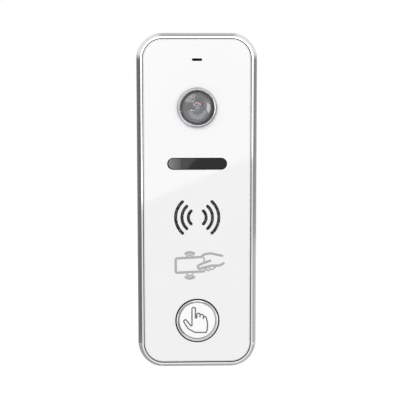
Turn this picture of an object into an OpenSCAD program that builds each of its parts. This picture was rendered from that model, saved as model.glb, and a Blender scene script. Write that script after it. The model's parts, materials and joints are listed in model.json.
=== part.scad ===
// Slim wall-mounted video doorbell: a metal frame around a white acrylic face,
// with a camera, an infrared window, a speaker, a card reader coil and a call button.
//
// Every module is drawn lying down: x runs across the face, y up it, and z out
// from the wall. standing() turns the finished sub-part upright, so that the row
// frame has +X to the right, +Z up and the face looking along -Y, with its origin
// in the wall plane, at the centre of the bracket's screw pattern.

/* [Body] */
// Width of the frame
body_w = 42; // [41.6:0.2:44]
// Height of the frame
body_h = 118; // [118:0.5:121]
// Depth from the wall to the frame's front rim
body_d = 16; // [16:0.1:16.4]
// Corner radius of the frame, seen from the front
corner_r = 9; // [8.8:0.1:9.6]
// How far the frame's front edge curves inwards
slope_w = 1.5; // [1.2:0.1:1.5]
// How deep that curved edge is
slope_d = 3; // [2.6:0.1:3.6]
// Width of the flat rim round the face plate
rim_w = 0.5; // [0.45:0.05:0.6]

/* [Face plate] */
// Thickness of the acrylic plate
plate_t = 2; // [2:0.1:2.2]
// How far the plate stands proud of the rim
plate_proud = 0.2; // [0.1:0.05:0.3]
// Size of the polished bevel round the plate
plate_bevel = 0.5; // [0.3:0.05:0.6]

/* [Features on the face] */
// Height of the microphone slot above the centre
mic_y = 49.6; // [49.4:0.1:50]
// Height of the camera above the centre
camera_y = 33.1; // [33:0.1:33.6]
// Height of the infrared window above the centre
window_y = 13.7; // [13.6:0.1:14]
// Height of the sound slots' centre
speaker_y = -5.1; // [-5.2:0.1:-5]
// Height of the call button's centre
button_y = -41.8; // [-41.9:0.1:-41.6]
// Width of one sound slot
sound_slot_w = 1.1; // [0.8:0.05:1.15]
// Radius of the call button's cap
cap_r = 6.4; // [6.2:0.05:6.45]
// How far the call button goes in
press_travel = 0.4; // [0.2:0.05:0.5]

/* [Wall bracket] */
// Screw spacing across
screws_x = 22; // [20:1:24]
// Screw spacing up and down
screws_y = 68; // [66:1:72]
// Radius of the screw holes
wall_hole_r = 2.1; // [1.8:0.1:2.3]

/* [Hidden] */
$fn = 48;
eps = 0.01;

// Depth stations, out from the wall.
bracket_t = 1.2;
cover_z = 1.5;
cover_t = 1.8;
cover_in = cover_z + cover_t;
seal_t = 0.8;
board_z = 6;
board_t = 1.6;
board_front = board_z + board_t;
camera_board_t = 1.2;
camera_front = board_z + camera_board_t;
plate_front = body_d + plate_proud;
plate_z = plate_front - plate_t;
tape_t = 0.2;
ledge_t = 1.4;
ledge_z = plate_z - tape_t - ledge_t;
chassis_t = 1.4;
chassis_z = ledge_z - chassis_t;

// The frame's front edge curves inwards in flat bands. Each one has a share of the
// edge's depth, and a share of its width.
edge_bands = [[0.42, 0.17], [0.33, 0.32], [0.25, 0.51]];

// Outlines, given as how far each lies inside the frame's outside.
rear_wall = 1.2;
mid_wall = 2.4;
pocket_in = slope_w + rim_w;
ledge_w = 1.9;
ledge_in = pocket_in + ledge_w;
fit_gap = 0.15;
plate_gap = 0.28;

// Camera.
ring_r = 7.05;
ring_tube_r = 6.3;
dome_r = 5.9;
ring_front = plate_front + 1.5;
dome_apex = plate_front + 2.1;
dome_seat = plate_front - 0.6;
dome_rim = plate_front + 0.6;
dome_wall = 0.9;
shoulder_r = 4.9;
barrel_r = 3.5;
barrel_head_r = 4.6;
holder_w = 13;
holder_bore_r = barrel_r + 0.02;
camera_board_w = 26;
camera_board_h = 18;
camera_screw_x = 10.8;
holder_screw_at = 5;

// Microphone slot.
mic_slot_w = 3.55;
mic_slot_h = 0.88;

// Infrared window.
window_w = 20.8;
window_h = 4.1;
led_r = 1.5;
led_x = [-8, -4, 4, 8];

// Speaker and its sound slots.
sound_radii = [3.12, 5.36, 7.57];
sound_half_angle = 47;
mesh_r = 9.4;
speaker_r = 11;
speaker_hole_r = 9;
magnet_r = 5;

// Call button.
plate_hole_r = 7.85;
ring_out_r = 7.35;
ring_in_r = cap_r + 0.1;
cap_flange_r = 6.95;
cap_front = plate_front + 0.35;
cap_step_z = plate_z + 0.5;
cap_flange_t = 0.9;
cap_back = cap_step_z - 0.1 - cap_flange_t;
switch_top = board_front + 3.5;
plunger_r = 1.7;
plunger_top = switch_top + press_travel + 0.8;
spring_r = 5.2;
spring_wire = 0.45;
spring_turns = 4.5;

// Card reader coil.
coil_y = -24.9;
coil_w = 31;
coil_h = 15;
coil_band = 3;

// Boards and fasteners.
main_w = 34.8;
main_top = 21.5;
main_bottom = -49;
boss_x = 14.4;
boss_tops = [18.2, -46.2];
pillar_x = 14.8;
pillar_y = 52;
pillar_r = 2.6;
pilot_r = 1;
small_pilot_r = 0.8;

// Back: hooks, tab, socket and volume trimmer.
bracket_w = 34;
bracket_h = 108.8;
window_open_w = 24;
window_open_h = 40;
hook_x = 9;
hook_w = 6;
hook_y = 44;
hook_lip = 2;
hook_slot_h = 3.7;
tab_w = 10;
tab_top = 9.9;
lock_z = 7.2;
lock_r = 1.5;
bay_w = 19;
bay_h = 34;
bay_floor = 4.2;
pocket_wall = 0.8;
head_pocket_r = 4.5;
head_pocket_d = 2.6;
socket_y = -13.6;
socket_w = 16;
socket_h = 5;
pin_pitch = 2;
pin_count = 6;
trimmer_x = 13.6;
trimmer_y = 8;

// ---------------------------------------------------------------- helpers

module standing() rotate([90, 0, 0]) children();

module at(x, y, z = 0) translate([x, y, z]) children();

// Puts its children in the four places (+-x, +-y).
module four(x, y) for (sx = [-1, 1], sy = [-1, 1]) translate([sx * x, sy * y, 0]) children();

module pair(x, y) for (s = [-1, 1]) translate([s * x, y, 0]) children();

module rounded_rect(w, h, r) {
  square([w - 2 * r, h], center = true);
  square([w, h - 2 * r], center = true);
  four(w / 2 - r, h / 2 - r) circle(r);
}

module slab(w, h, r, t) linear_extrude(t) rounded_rect(w, h, r);

// The frame's outline moved in by an amount, as a slab from z0 to z1.
module outline_slab(inset, z0, z1)
  at(0, 0, z0) slab(body_w - 2 * inset, body_h - 2 * inset, corner_r - inset, z1 - z0);

// A slab whose sides slope in by an amount towards its top.
module sloped_slab(w, h, r, t, inset) {
  four(w / 2 - r, h / 2 - r) cylinder(r1 = r, r2 = r - inset, h = t);
  rotate([90, 0, 0]) translate([0, 0, -(h / 2 - r)])
    linear_extrude(h - 2 * r)
      polygon([[-w / 2, 0], [w / 2, 0], [w / 2 - inset, t], [-w / 2 + inset, t]]);
  rotate([90, 0, 90]) translate([0, 0, -(w / 2 - r)])
    linear_extrude(w - 2 * r)
      polygon([[-h / 2, 0], [h / 2, 0], [h / 2 - inset, t], [-h / 2 + inset, t]]);
}

module pill(w, h, t) linear_extrude(t) {
  square([w - h, h], center = true);
  for (s = [-1, 1]) translate([s * (w - h) / 2, 0]) circle(h / 2);
}

module tube(r_out, r_in, t) difference() {
  cylinder(r = r_out, h = t);
  translate([0, 0, -eps]) cylinder(r = r_in, h = t + 2 * eps);
}

module block(w, h, t) translate([-w / 2, -h / 2, 0]) cube([w, h, t]);

// A round-ended slot bent along an arc about the origin, on one side.
module arc_slot(radius, width, half_angle, t) {
  rotate([0, 0, -half_angle]) rotate_extrude(angle = 2 * half_angle)
    translate([radius - width / 2, 0]) square([width, t]);
  for (s = [-1, 1]) rotate([0, 0, s * half_angle]) at(radius, 0) cylinder(r = width / 2, h = t);
}

// The cross of a screwdriver recess, cut down from z = 0.
module cross_recess(r, depth) translate([0, 0, -depth])
  for (a = [0, 90]) rotate([0, 0, a]) block(2 * r, 0.45 * r, depth + eps);

// A pan-head screw: head below z = 0, thread above it.
module pan_screw(head_r, head_t, r, length) difference() {
  union() {
    translate([0, 0, -head_t]) cylinder(r = head_r, h = head_t);
    cylinder(r = r, h = length);
  }
  translate([0, 0, -head_t]) mirror([0, 0, 1]) cross_recess(0.6 * head_r, 0.6 * head_t);
}

// A wire that leaves z = top downwards, runs along -y at z = run, and goes down to z = foot.
module lead_wire(r, length, bend, top, run, foot) {
  at(0, 0, run + bend) cylinder(r = r, h = top - run - bend);
  translate([0, -bend, run + bend]) rotate([0, 90, 0]) rotate_extrude(angle = 90)
    translate([bend, 0]) circle(r);
  translate([0, -bend, run]) rotate([90, 0, 0]) cylinder(r = r, h = length - 2 * bend);
  translate([0, -length + bend, run - bend]) rotate([0, -90, 0]) rotate([0, 0, -90])
    rotate_extrude(angle = 90) translate([bend, 0]) circle(r);
  at(0, -length, foot) cylinder(r = r, h = run - bend - foot);
}

// ---------------------------------------------------------------- casing

module lock_screw_axis(y) translate([0, y, lock_z]) rotate([-90, 0, 0]) children();

// The sum of the shares of the bands below band i: share 0 is depth, share 1 is width.
function share_below(i, share) =
  i == 0 ? 0 : edge_bands[i - 1][share] + share_below(i - 1, share);

module front_edge()
  for (i = [0 : len(edge_bands) - 1]) {
    inset = slope_w * share_below(i, 1);
    at(0, 0, body_d - slope_d * (1 - share_below(i, 0)))
      sloped_slab(body_w - 2 * inset, body_h - 2 * inset, corner_r - inset,
                  slope_d * edge_bands[i][0], slope_w * edge_bands[i][1]);
  }

module bezel_frame() color([0.78, 0.78, 0.80]) difference() {
  union() {
    outline_slab(0, 0.3, body_d - slope_d);
    front_edge();
  }
  outline_slab(rear_wall, 0, cover_in + seal_t);
  outline_slab(mid_wall, cover_in + seal_t - eps, ledge_z);
  outline_slab(ledge_in, ledge_z - eps, plate_z);
  outline_slab(pocket_in, ledge_z + ledge_t, body_d + eps);
  lock_screw_axis(-body_h / 2 - eps) cylinder(r = 2.9, h = 1.6 + eps);
  lock_screw_axis(-body_h / 2) cylinder(r = lock_r + 0.2, h = mid_wall + 1);
}

module face_holes(t) {
  at(0, mic_y) pill(mic_slot_w, mic_slot_h, t);
  at(0, camera_y) cylinder(r = ring_tube_r + 0.05, h = t);
  at(0, window_y) pill(window_w + 0.1, window_h + 0.1, t);
  at(0, speaker_y) for (side = [0, 180], radius = sound_radii)
    rotate([0, 0, side]) arc_slot(radius, sound_slot_w, sound_half_angle, t);
  at(0, button_y) cylinder(r = plate_hole_r, h = t);
}

module face_plate() color([0.97, 0.97, 0.97]) difference() {
  w = body_w - 2 * pocket_in - 2 * plate_gap;
  h = body_h - 2 * pocket_in - 2 * plate_gap;
  r = corner_r - pocket_in - plate_gap;
  union() {
    at(0, 0, plate_z) slab(w, h, r, plate_t - plate_bevel);
    at(0, 0, plate_front - plate_bevel) sloped_slab(w, h, r, plate_bevel, plate_bevel);
  }
  at(0, 0, plate_z - eps) face_holes(plate_t + 2 * eps);
}

module plate_adhesive() color([0.2, 0.2, 0.22]) difference() {
  outline_slab(pocket_in + 0.3, plate_z - tape_t, plate_z);
  outline_slab(ledge_in + 0.1, plate_z - tape_t - eps, plate_z + eps);
}

module inner_chassis() color([0.13, 0.13, 0.14]) difference() {
  union() {
    outline_slab(mid_wall + fit_gap, chassis_z, ledge_z);
    four(pillar_x, pillar_y) at(0, 0, cover_in) cylinder(r = pillar_r, h = chassis_z - cover_in + eps);
    for (y = boss_tops) pair(boss_x, y)
      at(0, 0, board_front) cylinder(r = 2, h = chassis_z - board_front + eps);
    pair(camera_screw_x, camera_y)
      at(0, 0, camera_front) cylinder(r = 1.8, h = chassis_z - camera_front + eps);
    at(0, window_y, chassis_z - 2.4) block(22.6, 6, 2.4 + eps);
  }
  at(0, window_y, chassis_z - 2.4 - eps) block(21, 4.4, 2.4);
  four(pillar_x, pillar_y) at(0, 0, cover_in - eps) cylinder(r = pilot_r, h = 7);
  for (y = boss_tops) pair(boss_x, y) at(0, 0, board_front - eps) cylinder(r = small_pilot_r, h = 3.2);
  pair(camera_screw_x, camera_y) at(0, 0, camera_front - eps) cylinder(r = small_pilot_r, h = 3.2);
  at(0, 0, chassis_z - eps) {
    at(0, mic_y) cylinder(r = 3.75, h = 2);
    at(0, camera_y) cylinder(r = 5.4, h = 2);
    for (x = concat(led_x, 0)) at(x, window_y) cylinder(r = led_r + 0.2, h = 2);
    at(0, speaker_y) cylinder(r = speaker_hole_r, h = 2);
    at(0, button_y) cylinder(r = 6.2, h = 2);
    at(coil_w / 2 - coil_band / 2, coil_y) cylinder(r = 1.6, h = 2);
  }
}

module hook_pocket(wall, z0, z1)
  translate([-hook_w / 2 - 1 - wall, hook_y + 1.3 - hook_slot_h - wall, z0])
    cube([hook_w + 2 + 2 * wall, hook_slot_h + hook_lip + 0.3 + 2 * wall, z1 - z0]);

module tab_pocket(wall, z0, z1)
  translate([-tab_w / 2 - 0.4 - wall, -body_h / 2 + mid_wall + 0.1, z0])
    cube([tab_w + 0.8 + 2 * wall, 4.2 + wall, z1 - z0]);

// The recess in which the wall's wires turn and meet the socket.
module wire_bay(wall, z0, z1) at(0, 0, z0) slab(bay_w + 2 * wall, bay_h + 2 * wall, 1 + wall, z1 - z0);

module countersink(z, r_top, r_hole, depth) at(0, 0, z) {
  translate([0, 0, -eps]) cylinder(r1 = r_top, r2 = r_hole, h = depth + eps);
  translate([0, 0, -eps]) cylinder(r = r_hole, h = 4);
}

module rear_cover() color([0.30, 0.31, 0.33]) difference() {
  union() {
    outline_slab(rear_wall + 0.2, cover_z, cover_in);
    pair(hook_x, 0) hook_pocket(pocket_wall, cover_z, 5.5);
    tab_pocket(pocket_wall, cover_z, 10.9);
    wire_bay(pocket_wall, cover_z, bay_floor + pocket_wall);
    four(screws_x / 2, screws_y / 2) at(0, 0, cover_z)
      cylinder(r = head_pocket_r + pocket_wall, h = head_pocket_d + pocket_wall);
  }
  wire_bay(0, cover_z - eps, bay_floor);
  four(screws_x / 2, screws_y / 2) at(0, 0, cover_z - eps)
    cylinder(r = head_pocket_r, h = head_pocket_d + eps);
  pair(hook_x, 0) {
    hook_pocket(0, cover_in, 4.9);
    translate([-hook_w / 2 - 1, hook_y + 1.3 - hook_slot_h, cover_z - eps])
      cube([hook_w + 2, hook_slot_h, cover_t + 2 * eps]);
  }
  translate([0, -eps, -eps]) tab_pocket(0, cover_z, 10.2);
  four(pillar_x, pillar_y) countersink(cover_z, 2.3, 1.15, 1.15);
  at(0, socket_y, bay_floor - eps) block(socket_w + 0.6, socket_h + 0.6, pocket_wall + 2 * eps);
  at(trimmer_x, trimmer_y, cover_z - eps) cylinder(r = 2.2, h = cover_t + 1);
  lock_screw_axis(-body_h / 2 + mid_wall) cylinder(r = lock_r + 0.3, h = 6);
}

module rear_seal() color([0.08, 0.08, 0.08]) difference() {
  outline_slab(rear_wall + 0.35, cover_in, cover_in + seal_t);
  outline_slab(mid_wall - 0.15, cover_in - eps, cover_in + seal_t + eps);
}

module cover_screws() color([0.72, 0.72, 0.74]) four(pillar_x, pillar_y) difference() {
  union() {
    at(0, 0, cover_z + 0.05) cylinder(r1 = 2.15, r2 = 1, h = 1.1);
    at(0, 0, cover_z + 1.1) cylinder(r = pilot_r, h = 7);
  }
  at(0, 0, cover_z + 0.05) mirror([0, 0, 1]) cross_recess(1.2, 0.7);
}

module wall_bracket() color([0.66, 0.67, 0.69]) difference() {
  union() {
    slab(bracket_w, bracket_h, 4, bracket_t);
    pair(hook_x, hook_y) {
      translate([-hook_w / 2, 0, 0]) cube([hook_w, bracket_t, 4.6]);
      translate([-hook_w / 2, 0, 3.45]) cube([hook_w, bracket_t + hook_lip, 1.15]);
    }
    translate([-tab_w / 2, -bracket_h / 2, 0]) cube([tab_w, bracket_t, tab_top]);
  }
  at(0, 0, -eps) slab(window_open_w, window_open_h, 3, bracket_t + 2 * eps);
  four(screws_x / 2, screws_y / 2) at(0, 0, -eps) cylinder(r = wall_hole_r, h = bracket_t + 2 * eps);
  lock_screw_axis(-bracket_h / 2 - eps) cylinder(r = lock_r, h = bracket_t + 2 * eps);
}

module locking_screw() color([0.72, 0.72, 0.74]) lock_screw_axis(-body_h / 2 + 1.6) difference() {
  union() {
    translate([0, 0, -1.5]) cylinder(r = 2.7, h = 1.5);
    cylinder(r = lock_r - 0.02, h = 5.4);
  }
  translate([0, 0, -1.5 - eps]) cylinder(r = 1.5, h = 0.9, $fn = 6);
}

// ---------------------------------------------------------------- camera

module camera_ring() color([0.80, 0.80, 0.81]) at(0, camera_y) rotate_extrude()
  polygon([
    [shoulder_r, plate_z - 1.2], [ring_tube_r, plate_z - 1.2], [ring_tube_r, plate_front],
    [ring_r, plate_front], [ring_r, plate_front + 0.4], [ring_r - 0.08, plate_front + 0.75],
    [ring_r - 0.25, ring_front - 0.45], [ring_r - 0.5, ring_front - 0.2],
    [ring_r - 0.75, ring_front - 0.05], [ring_r - 0.9, ring_front],
    [dome_r + 0.14, ring_front - 0.12], [dome_r + 0.05, ring_front - 0.4],
    [dome_r + 0.05, dome_seat - 0.6], [shoulder_r, dome_seat - 0.6]
  ]);

module ring_nut() color([0.60, 0.60, 0.62]) at(0, camera_y, plate_z - 1) difference() {
  tube(7.8, ring_tube_r + 0.02, 1);
  for (a = [0, 90]) rotate([0, 0, a]) at(0, 0, -eps) block(17, 1.4, 0.6);
}

module camera_dome() color([0.75, 0.78, 0.80, 0.4]) at(0, camera_y) {
  rise = dome_apex - dome_rim;
  ball = (dome_r * dome_r + rise * rise) / (2 * rise);
  difference() {
    intersection() {
      at(0, 0, dome_seat) cylinder(r = dome_r, h = dome_apex - dome_seat + 1);
      at(0, 0, dome_apex - ball) sphere(ball, $fn = 128);
    }
    at(0, 0, dome_seat - eps) cylinder(r = shoulder_r, h = dome_rim - dome_wall - dome_seat + eps);
    intersection() {
      at(0, 0, dome_rim - dome_wall - eps) cylinder(r = shoulder_r, h = 4);
      at(0, 0, dome_apex - ball) sphere(ball - dome_wall, $fn = 128);
    }
  }
}

module dome_gasket() color([0.05, 0.05, 0.05]) at(0, camera_y, dome_seat - 0.6)
  tube(dome_r, shoulder_r, 0.6);

module lens_barrel() color([0.10, 0.10, 0.11]) at(0, camera_y) rotate_extrude()
  polygon([
    [1.4, 9], [barrel_r, 9], [barrel_r, 12.4], [barrel_head_r, 12.4],
    [barrel_head_r, 14.5], [barrel_head_r - 0.3, 14.8], [3.6, 14.8], [3.2, 14.2],
    [2.9, 14.2], [2.9, 13.2], [1.4, 13.2], [1.4, 11.2], [2, 11.2], [2, 10.2], [1.4, 10.2]
  ]);

module lens_front_glass() color([0.45, 0.40, 0.55, 0.6]) at(0, camera_y) {
  intersection() {
    at(0, 0, 13.2) cylinder(r = 2.9, h = 3);
    at(0, 0, 14.9 - 5) sphere(5, $fn = 96);
  }
}

module lens_rear_glass() color([0.55, 0.60, 0.65, 0.6]) at(0, camera_y, 10.2)
  cylinder(r = 2, h = 1);

module lens_holder() color([0.10, 0.10, 0.11]) at(0, camera_y) difference() {
  union() {
    at(0, 0, camera_front) slab(holder_w, holder_w, 1.5, 2);
    at(0, 0, camera_front + 2 - eps) cylinder(r = shoulder_r, h = 2.7);
  }
  at(0, 0, camera_front - eps) block(7.6, 7.6, 1.4);
  at(0, 0, camera_front) cylinder(r = holder_bore_r, h = 6);
  for (s = [-1, 1]) at(s * holder_screw_at, -s * holder_screw_at, camera_front - eps)
    cylinder(r = 0.6, h = 1.6);
}

module holder_screws() color([0.70, 0.70, 0.72]) at(0, camera_y)
  for (s = [-1, 1]) at(s * holder_screw_at, -s * holder_screw_at, board_z)
    pan_screw(1.1, 0.6, 0.6, 2.6);

module ir_cut_filter() color([0.55, 0.75, 0.85, 0.6]) at(0, camera_y, 8.2)
  block(7.2, 7.2, 0.39);

module image_sensor() color([0.20, 0.22, 0.25]) at(0, camera_y, camera_front) {
  block(6.4, 6.4, 0.7);
  at(0, 0, 0.7) block(5, 4, 0.2);
}

module board_slab(w, h, t) slab(w, h, 1, t);

module camera_board() color([0.10, 0.35, 0.20]) at(0, camera_y, board_z) difference() {
  board_slab(camera_board_w, camera_board_h, camera_board_t);
  pair(camera_screw_x, 0) at(0, 0, -eps) cylinder(r = 1, h = 2);
  for (s = [-1, 1]) at(s * holder_screw_at, -s * holder_screw_at, -eps) cylinder(r = 0.65, h = 2);
}

module camera_screws() color([0.70, 0.70, 0.72]) pair(camera_screw_x, camera_y)
  at(0, 0, board_z) pan_screw(1.7, 1, small_pilot_r, 3.8);

// The flat cable bows towards the rear cover between its two latches.
cable_low = main_top - 1;
cable_high = camera_y - camera_board_h / 2 + 0.6;
latch_h = 2;
cable_mid = (cable_low + cable_high) / 2;

module flat_cable() color([0.90, 0.90, 0.88]) {
  half = (cable_high - cable_low) / 2;
  sag = 0.9;
  bow_r = (half * half + sag * sag) / (2 * sag);
  difference() {
    intersection() {
      translate([-4, cable_mid, 5.3 - sag + bow_r]) rotate([0, 90, 0]) difference() {
        cylinder(r = bow_r + 0.1, h = 8);
        translate([0, 0, -eps]) cylinder(r = bow_r - 0.1, h = 8 + 2 * eps);
      }
      at(0, cable_mid, 4) block(8, 2 * half, 1.3);
    }
  }
}

module cable_latches() color([0.85, 0.83, 0.78]) {
  at(0, cable_low - latch_h / 2, board_z - 1.3) block(10, latch_h, 1.3);
  at(0, cable_high + latch_h / 2, board_z - 1.3) block(10, latch_h, 1.3);
}

// ---------------------------------------------------------------- infrared window

module ir_window() color([0.12, 0.12, 0.13]) at(0, window_y) {
  at(0, 0, plate_z - 0.8) pill(window_w + 2.2, window_h + 2.2, 0.8);
  at(0, 0, plate_z - eps) pill(window_w, window_h, plate_t - 0.05);
}

module ir_leds() color([0.80, 0.82, 0.85]) for (x = led_x) at(x, window_y) {
  for (s = [-1, 1]) at(s * 0.6, 0, board_front) cylinder(r = 0.25, h = 1.2);
  at(0, 0, board_front + 1.2) cylinder(r = 1.6, h = 0.7);
  at(0, 0, board_front + 1.2) cylinder(r = led_r, h = 2.9);
  at(0, 0, board_front + 4.1) difference() {
    sphere(led_r);
    at(0, 0, -3) block(4, 4, 3);
  }
}

module light_sensor() color([0.75, 0.55, 0.40]) at(0, window_y) {
  for (s = [-1, 1]) at(s * 0.6, 0, board_front) cylinder(r = 0.25, h = 1.2);
  at(0, 0, board_front + 1.2) cylinder(r = led_r, h = 3.6);
}

// ---------------------------------------------------------------- sound

module speaker_mesh() color([0.15, 0.15, 0.15]) at(0, speaker_y, plate_z - 0.3)
  cylinder(r = mesh_r, h = 0.3);

module speaker_gasket() color([0.10, 0.10, 0.10]) at(0, speaker_y, ledge_z)
  tube(10.6, speaker_hole_r, plate_z - 0.3 - ledge_z);

module speaker_basket() color([0.55, 0.56, 0.58]) at(0, speaker_y) difference() {
  union() {
    at(0, 0, chassis_z - 1.2) tube(speaker_r, speaker_hole_r + 0.4, 1.2);
    at(0, 0, chassis_z - 2.6) tube(speaker_hole_r + 0.9, magnet_r, 0.5);
    at(0, 0, chassis_z - 2.6) tube(speaker_hole_r + 0.9, speaker_hole_r + 0.3, 1.5);
  }
  for (a = [45:90:315]) rotate([0, 0, a]) at(7.2, 0, chassis_z - 3) cylinder(r = 1.2, h = 1.2);
}

module speaker_cone() color([0.16, 0.16, 0.17]) at(0, speaker_y, chassis_z) rotate_extrude()
  polygon([
    [0, -0.9], [1.6, -1.05], [3, -1.5], [4, -1.9], [7.6, -0.9], [8.2, -0.5],
    [8.8, -0.4], [speaker_hole_r + 0.35, -0.8], [speaker_hole_r + 0.35, -1],
    [8.8, -0.6], [8.2, -0.7], [7.6, -1.1], [4, -2.09], [3, -1.7], [1.6, -1.25], [0, -1.1]
  ]);

module speaker_magnet() color([0.45, 0.45, 0.47]) at(0, speaker_y, board_front + 0.1)
  cylinder(r = magnet_r, h = chassis_z - 2.12 - board_front - 0.1);

module speaker_leads() color([0.70, 0.15, 0.12]) pair(1.4, speaker_y - 10.5)
  lead_wire(0.35, 3.2, 0.7, chassis_z - 1.2, 9.2, board_front);

module mic_boot() color([0.07, 0.07, 0.07]) at(0, mic_y) difference() {
  at(0, 0, 10.4) cylinder(r = 3.7, h = plate_z - 10.4);
  at(0, 0, 10.4 - eps) cylinder(r = 3, h = 2.9);
  at(0, 0, 10) pill(2.4, 0.75, 6);
}

module mic_capsule() color([0.75, 0.75, 0.72]) at(0, mic_y, 10.6) cylinder(r = 2.98, h = 2.68);

module mic_leads() color([0.85, 0.85, 0.85]) pair(0.9, mic_y)
  lead_wire(0.3, 9.4, 0.7, 10.6, 8.6, camera_front);

// The card reader's winding, with its two ends going down to the board.
module card_coil() color([0.72, 0.38, 0.20]) at(0, coil_y, ledge_z + 0.1) {
  difference() {
    slab(coil_w, coil_h, 5, 1.2);
    at(0, 0, -eps) slab(coil_w - 2 * coil_band, coil_h - 2 * coil_band, 2, 1.2 + 2 * eps);
  }
  for (s = [-1, 1]) at(coil_w / 2 - coil_band / 2, s * 0.6, board_front - ledge_z - 0.1)
    cylinder(r = 0.2, h = ledge_z + 0.1 - board_front + eps);
}

// ---------------------------------------------------------------- call button

module button_ring() color([0.80, 0.80, 0.81]) at(0, button_y) rotate_extrude()
  polygon([
    [cap_flange_r + 0.15, plate_z - 1], [8.9, plate_z - 1], [8.9, plate_z], [ring_out_r, plate_z],
    [ring_out_r, plate_front + 0.25], [ring_out_r - 0.1, plate_front + 0.45],
    [ring_out_r - 0.3, plate_front + 0.5], [ring_in_r + 0.08, plate_front + 0.15],
    [ring_in_r, plate_front], [ring_in_r, cap_step_z], [cap_flange_r + 0.15, cap_step_z]
  ]);

module button_seal() color([0.06, 0.06, 0.06]) at(0, button_y, plate_z)
  tube(plate_hole_r - eps, ring_out_r + eps, plate_t - 0.6);

module button_cap() color([0.96, 0.96, 0.96]) at(0, button_y) rotate_extrude()
  polygon([
    [0, plunger_top], [plunger_r - 0.1, plunger_top], [plunger_r - 0.1, cap_back],
    [cap_flange_r, cap_back], [cap_flange_r, cap_back + cap_flange_t],
    [cap_r, cap_back + cap_flange_t], [cap_r, cap_front - 0.35], [cap_r - 0.12, cap_front - 0.12],
    [cap_r - 0.4, cap_front], [0, cap_front]
  ]);

spring_gap = 0.02;
spring_low = spring_wire / 2 + spring_gap;
spring_rise = cap_back - board_front - 2 * spring_low;

// Height of the spring's centreline after a part f of its length: two flat ends, a climb between.
function spring_climb(f) = let (flat_end = 0.75 / spring_turns)
  spring_low + min(max((f - flat_end) / (1 - 2 * flat_end), 0), 1) * spring_rise;

// One closed tube along a helix: rings of sides, joined into a polyhedron.
module button_spring() color([0.75, 0.75, 0.76]) at(0, button_y, board_front) {
  steps = 24;
  sides = 8;
  rings = round(spring_turns * steps);
  points = [for (i = [0:rings], k = [0:sides - 1])
    let (a = 360 * i / steps, b = 360 * k / sides, r = spring_r + spring_wire / 2 * cos(b))
      [r * cos(a), r * sin(a), spring_climb(i / rings) + spring_wire / 2 * sin(b)]];
  skin = [for (i = [0:rings - 1], k = [0:sides - 1])
    let (n = (k + 1) % sides, p = i * sides, q = p + sides) [p + k, q + k, q + n, p + n]];
  start = [for (k = [0:sides - 1]) k];
  finish = [for (k = [0:sides - 1]) rings * sides + sides - 1 - k];
  polyhedron(points, concat([start], skin, [finish]), convexity = 10);
}

module switch_body() color([0.15, 0.15, 0.16]) at(0, button_y, board_front) difference() {
  union() {
    block(6, 6, 3.2);
    at(0, 0, 3.2 - eps) block(5.6, 5.6, 0.3 + eps);
  }
  at(0, 0, 2.2) cylinder(r = plunger_r + 0.06, h = 2);
}

module switch_plunger() color([0.85, 0.20, 0.15]) at(0, button_y, switch_top - 0.6)
  cylinder(r = plunger_r, h = plunger_top - switch_top + 0.6);

module button_leds() color([0.95, 0.93, 0.80]) at(0, button_y) four(5.3, 5.3)
  at(0, 0, board_front) block(2, 1.25, 0.8);

// ---------------------------------------------------------------- main board

module main_board() color([0.10, 0.35, 0.20]) at(0, 0, board_z) difference() {
  at(0, (main_top + main_bottom) / 2) board_slab(main_w, main_top - main_bottom, board_t);
  for (y = boss_tops) pair(boss_x, y) at(0, 0, -eps) cylinder(r = 1.1, h = 2);
}

module board_screws() color([0.70, 0.70, 0.72]) for (y = boss_tops) pair(boss_x, y)
  at(0, 0, board_z) pan_screw(1.8, 1, small_pilot_r, 4.4);

// A leaded chip: a body with a row of pins down two of its sides.
module chip(w, h, t, pins, pitch) {
  at(0, 0, 0.1) block(w, h, t - 0.1);
  for (s = [-1, 1], i = [0:pins - 1])
    at(s * (w / 2 + 0.4), (i - (pins - 1) / 2) * pitch) block(0.8, 0.4 * pitch, 0.35);
}

module controller_chip() color([0.12, 0.12, 0.13]) at(-7, -24, board_front)
  chip(8.6, 9.2, 1.4, 11, 0.8);

module video_chip() color([0.12, 0.12, 0.13]) at(-12, -22, board_z) mirror([0, 0, 1])
  chip(5.4, 6.6, 1.2, 8, 0.8);

module audio_amplifier() color([0.12, 0.12, 0.13]) at(5, -21, board_front)
  chip(3.9, 4.9, 1.5, 4, 1.27);

module lock_driver() color([0.12, 0.12, 0.13]) at(0, -27, board_z) mirror([0, 0, 1]) {
  at(0, 0, 0) block(6.4, 6, 2);
  at(0, 3.6, 0) block(5, 1.2, 0.6);
  pair(2.2, -3.8) block(0.9, 1.6, 0.6);
}

module power_inductor() color([0.20, 0.20, 0.21]) at(8.4, -30, board_front) {
  slab(6, 6, 1, 2.8);
  at(0, 0, 2.8 - eps) cylinder(r = 2.2, h = 0.15);
}

module tantalum_capacitors() color([0.85, 0.65, 0.20]) at(0, 0, board_front)
  for (y = [-38.4, -35.2, -32]) at(13.6, y) block(3.2, 1.6, 1.6);

module trimmer_body() color([0.15, 0.30, 0.60]) at(trimmer_x, trimmer_y, 4.4) difference() {
  block(5, 5, board_z - 4.4);
  at(0, 0, -eps) cylinder(r = 0.95, h = 1.1);
}

module trimmer_rotor() color([0.85, 0.85, 0.82]) at(trimmer_x, trimmer_y, 3.6) difference() {
  union() {
    cylinder(r = 1.85, h = 0.78);
    cylinder(r = 0.9, h = 1.7);
  }
  at(0, 0, -eps) block(2.8, 0.5, 0.45);
  at(0, 0.9, -eps) block(0.5, 0.9, 0.3);
}

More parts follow.
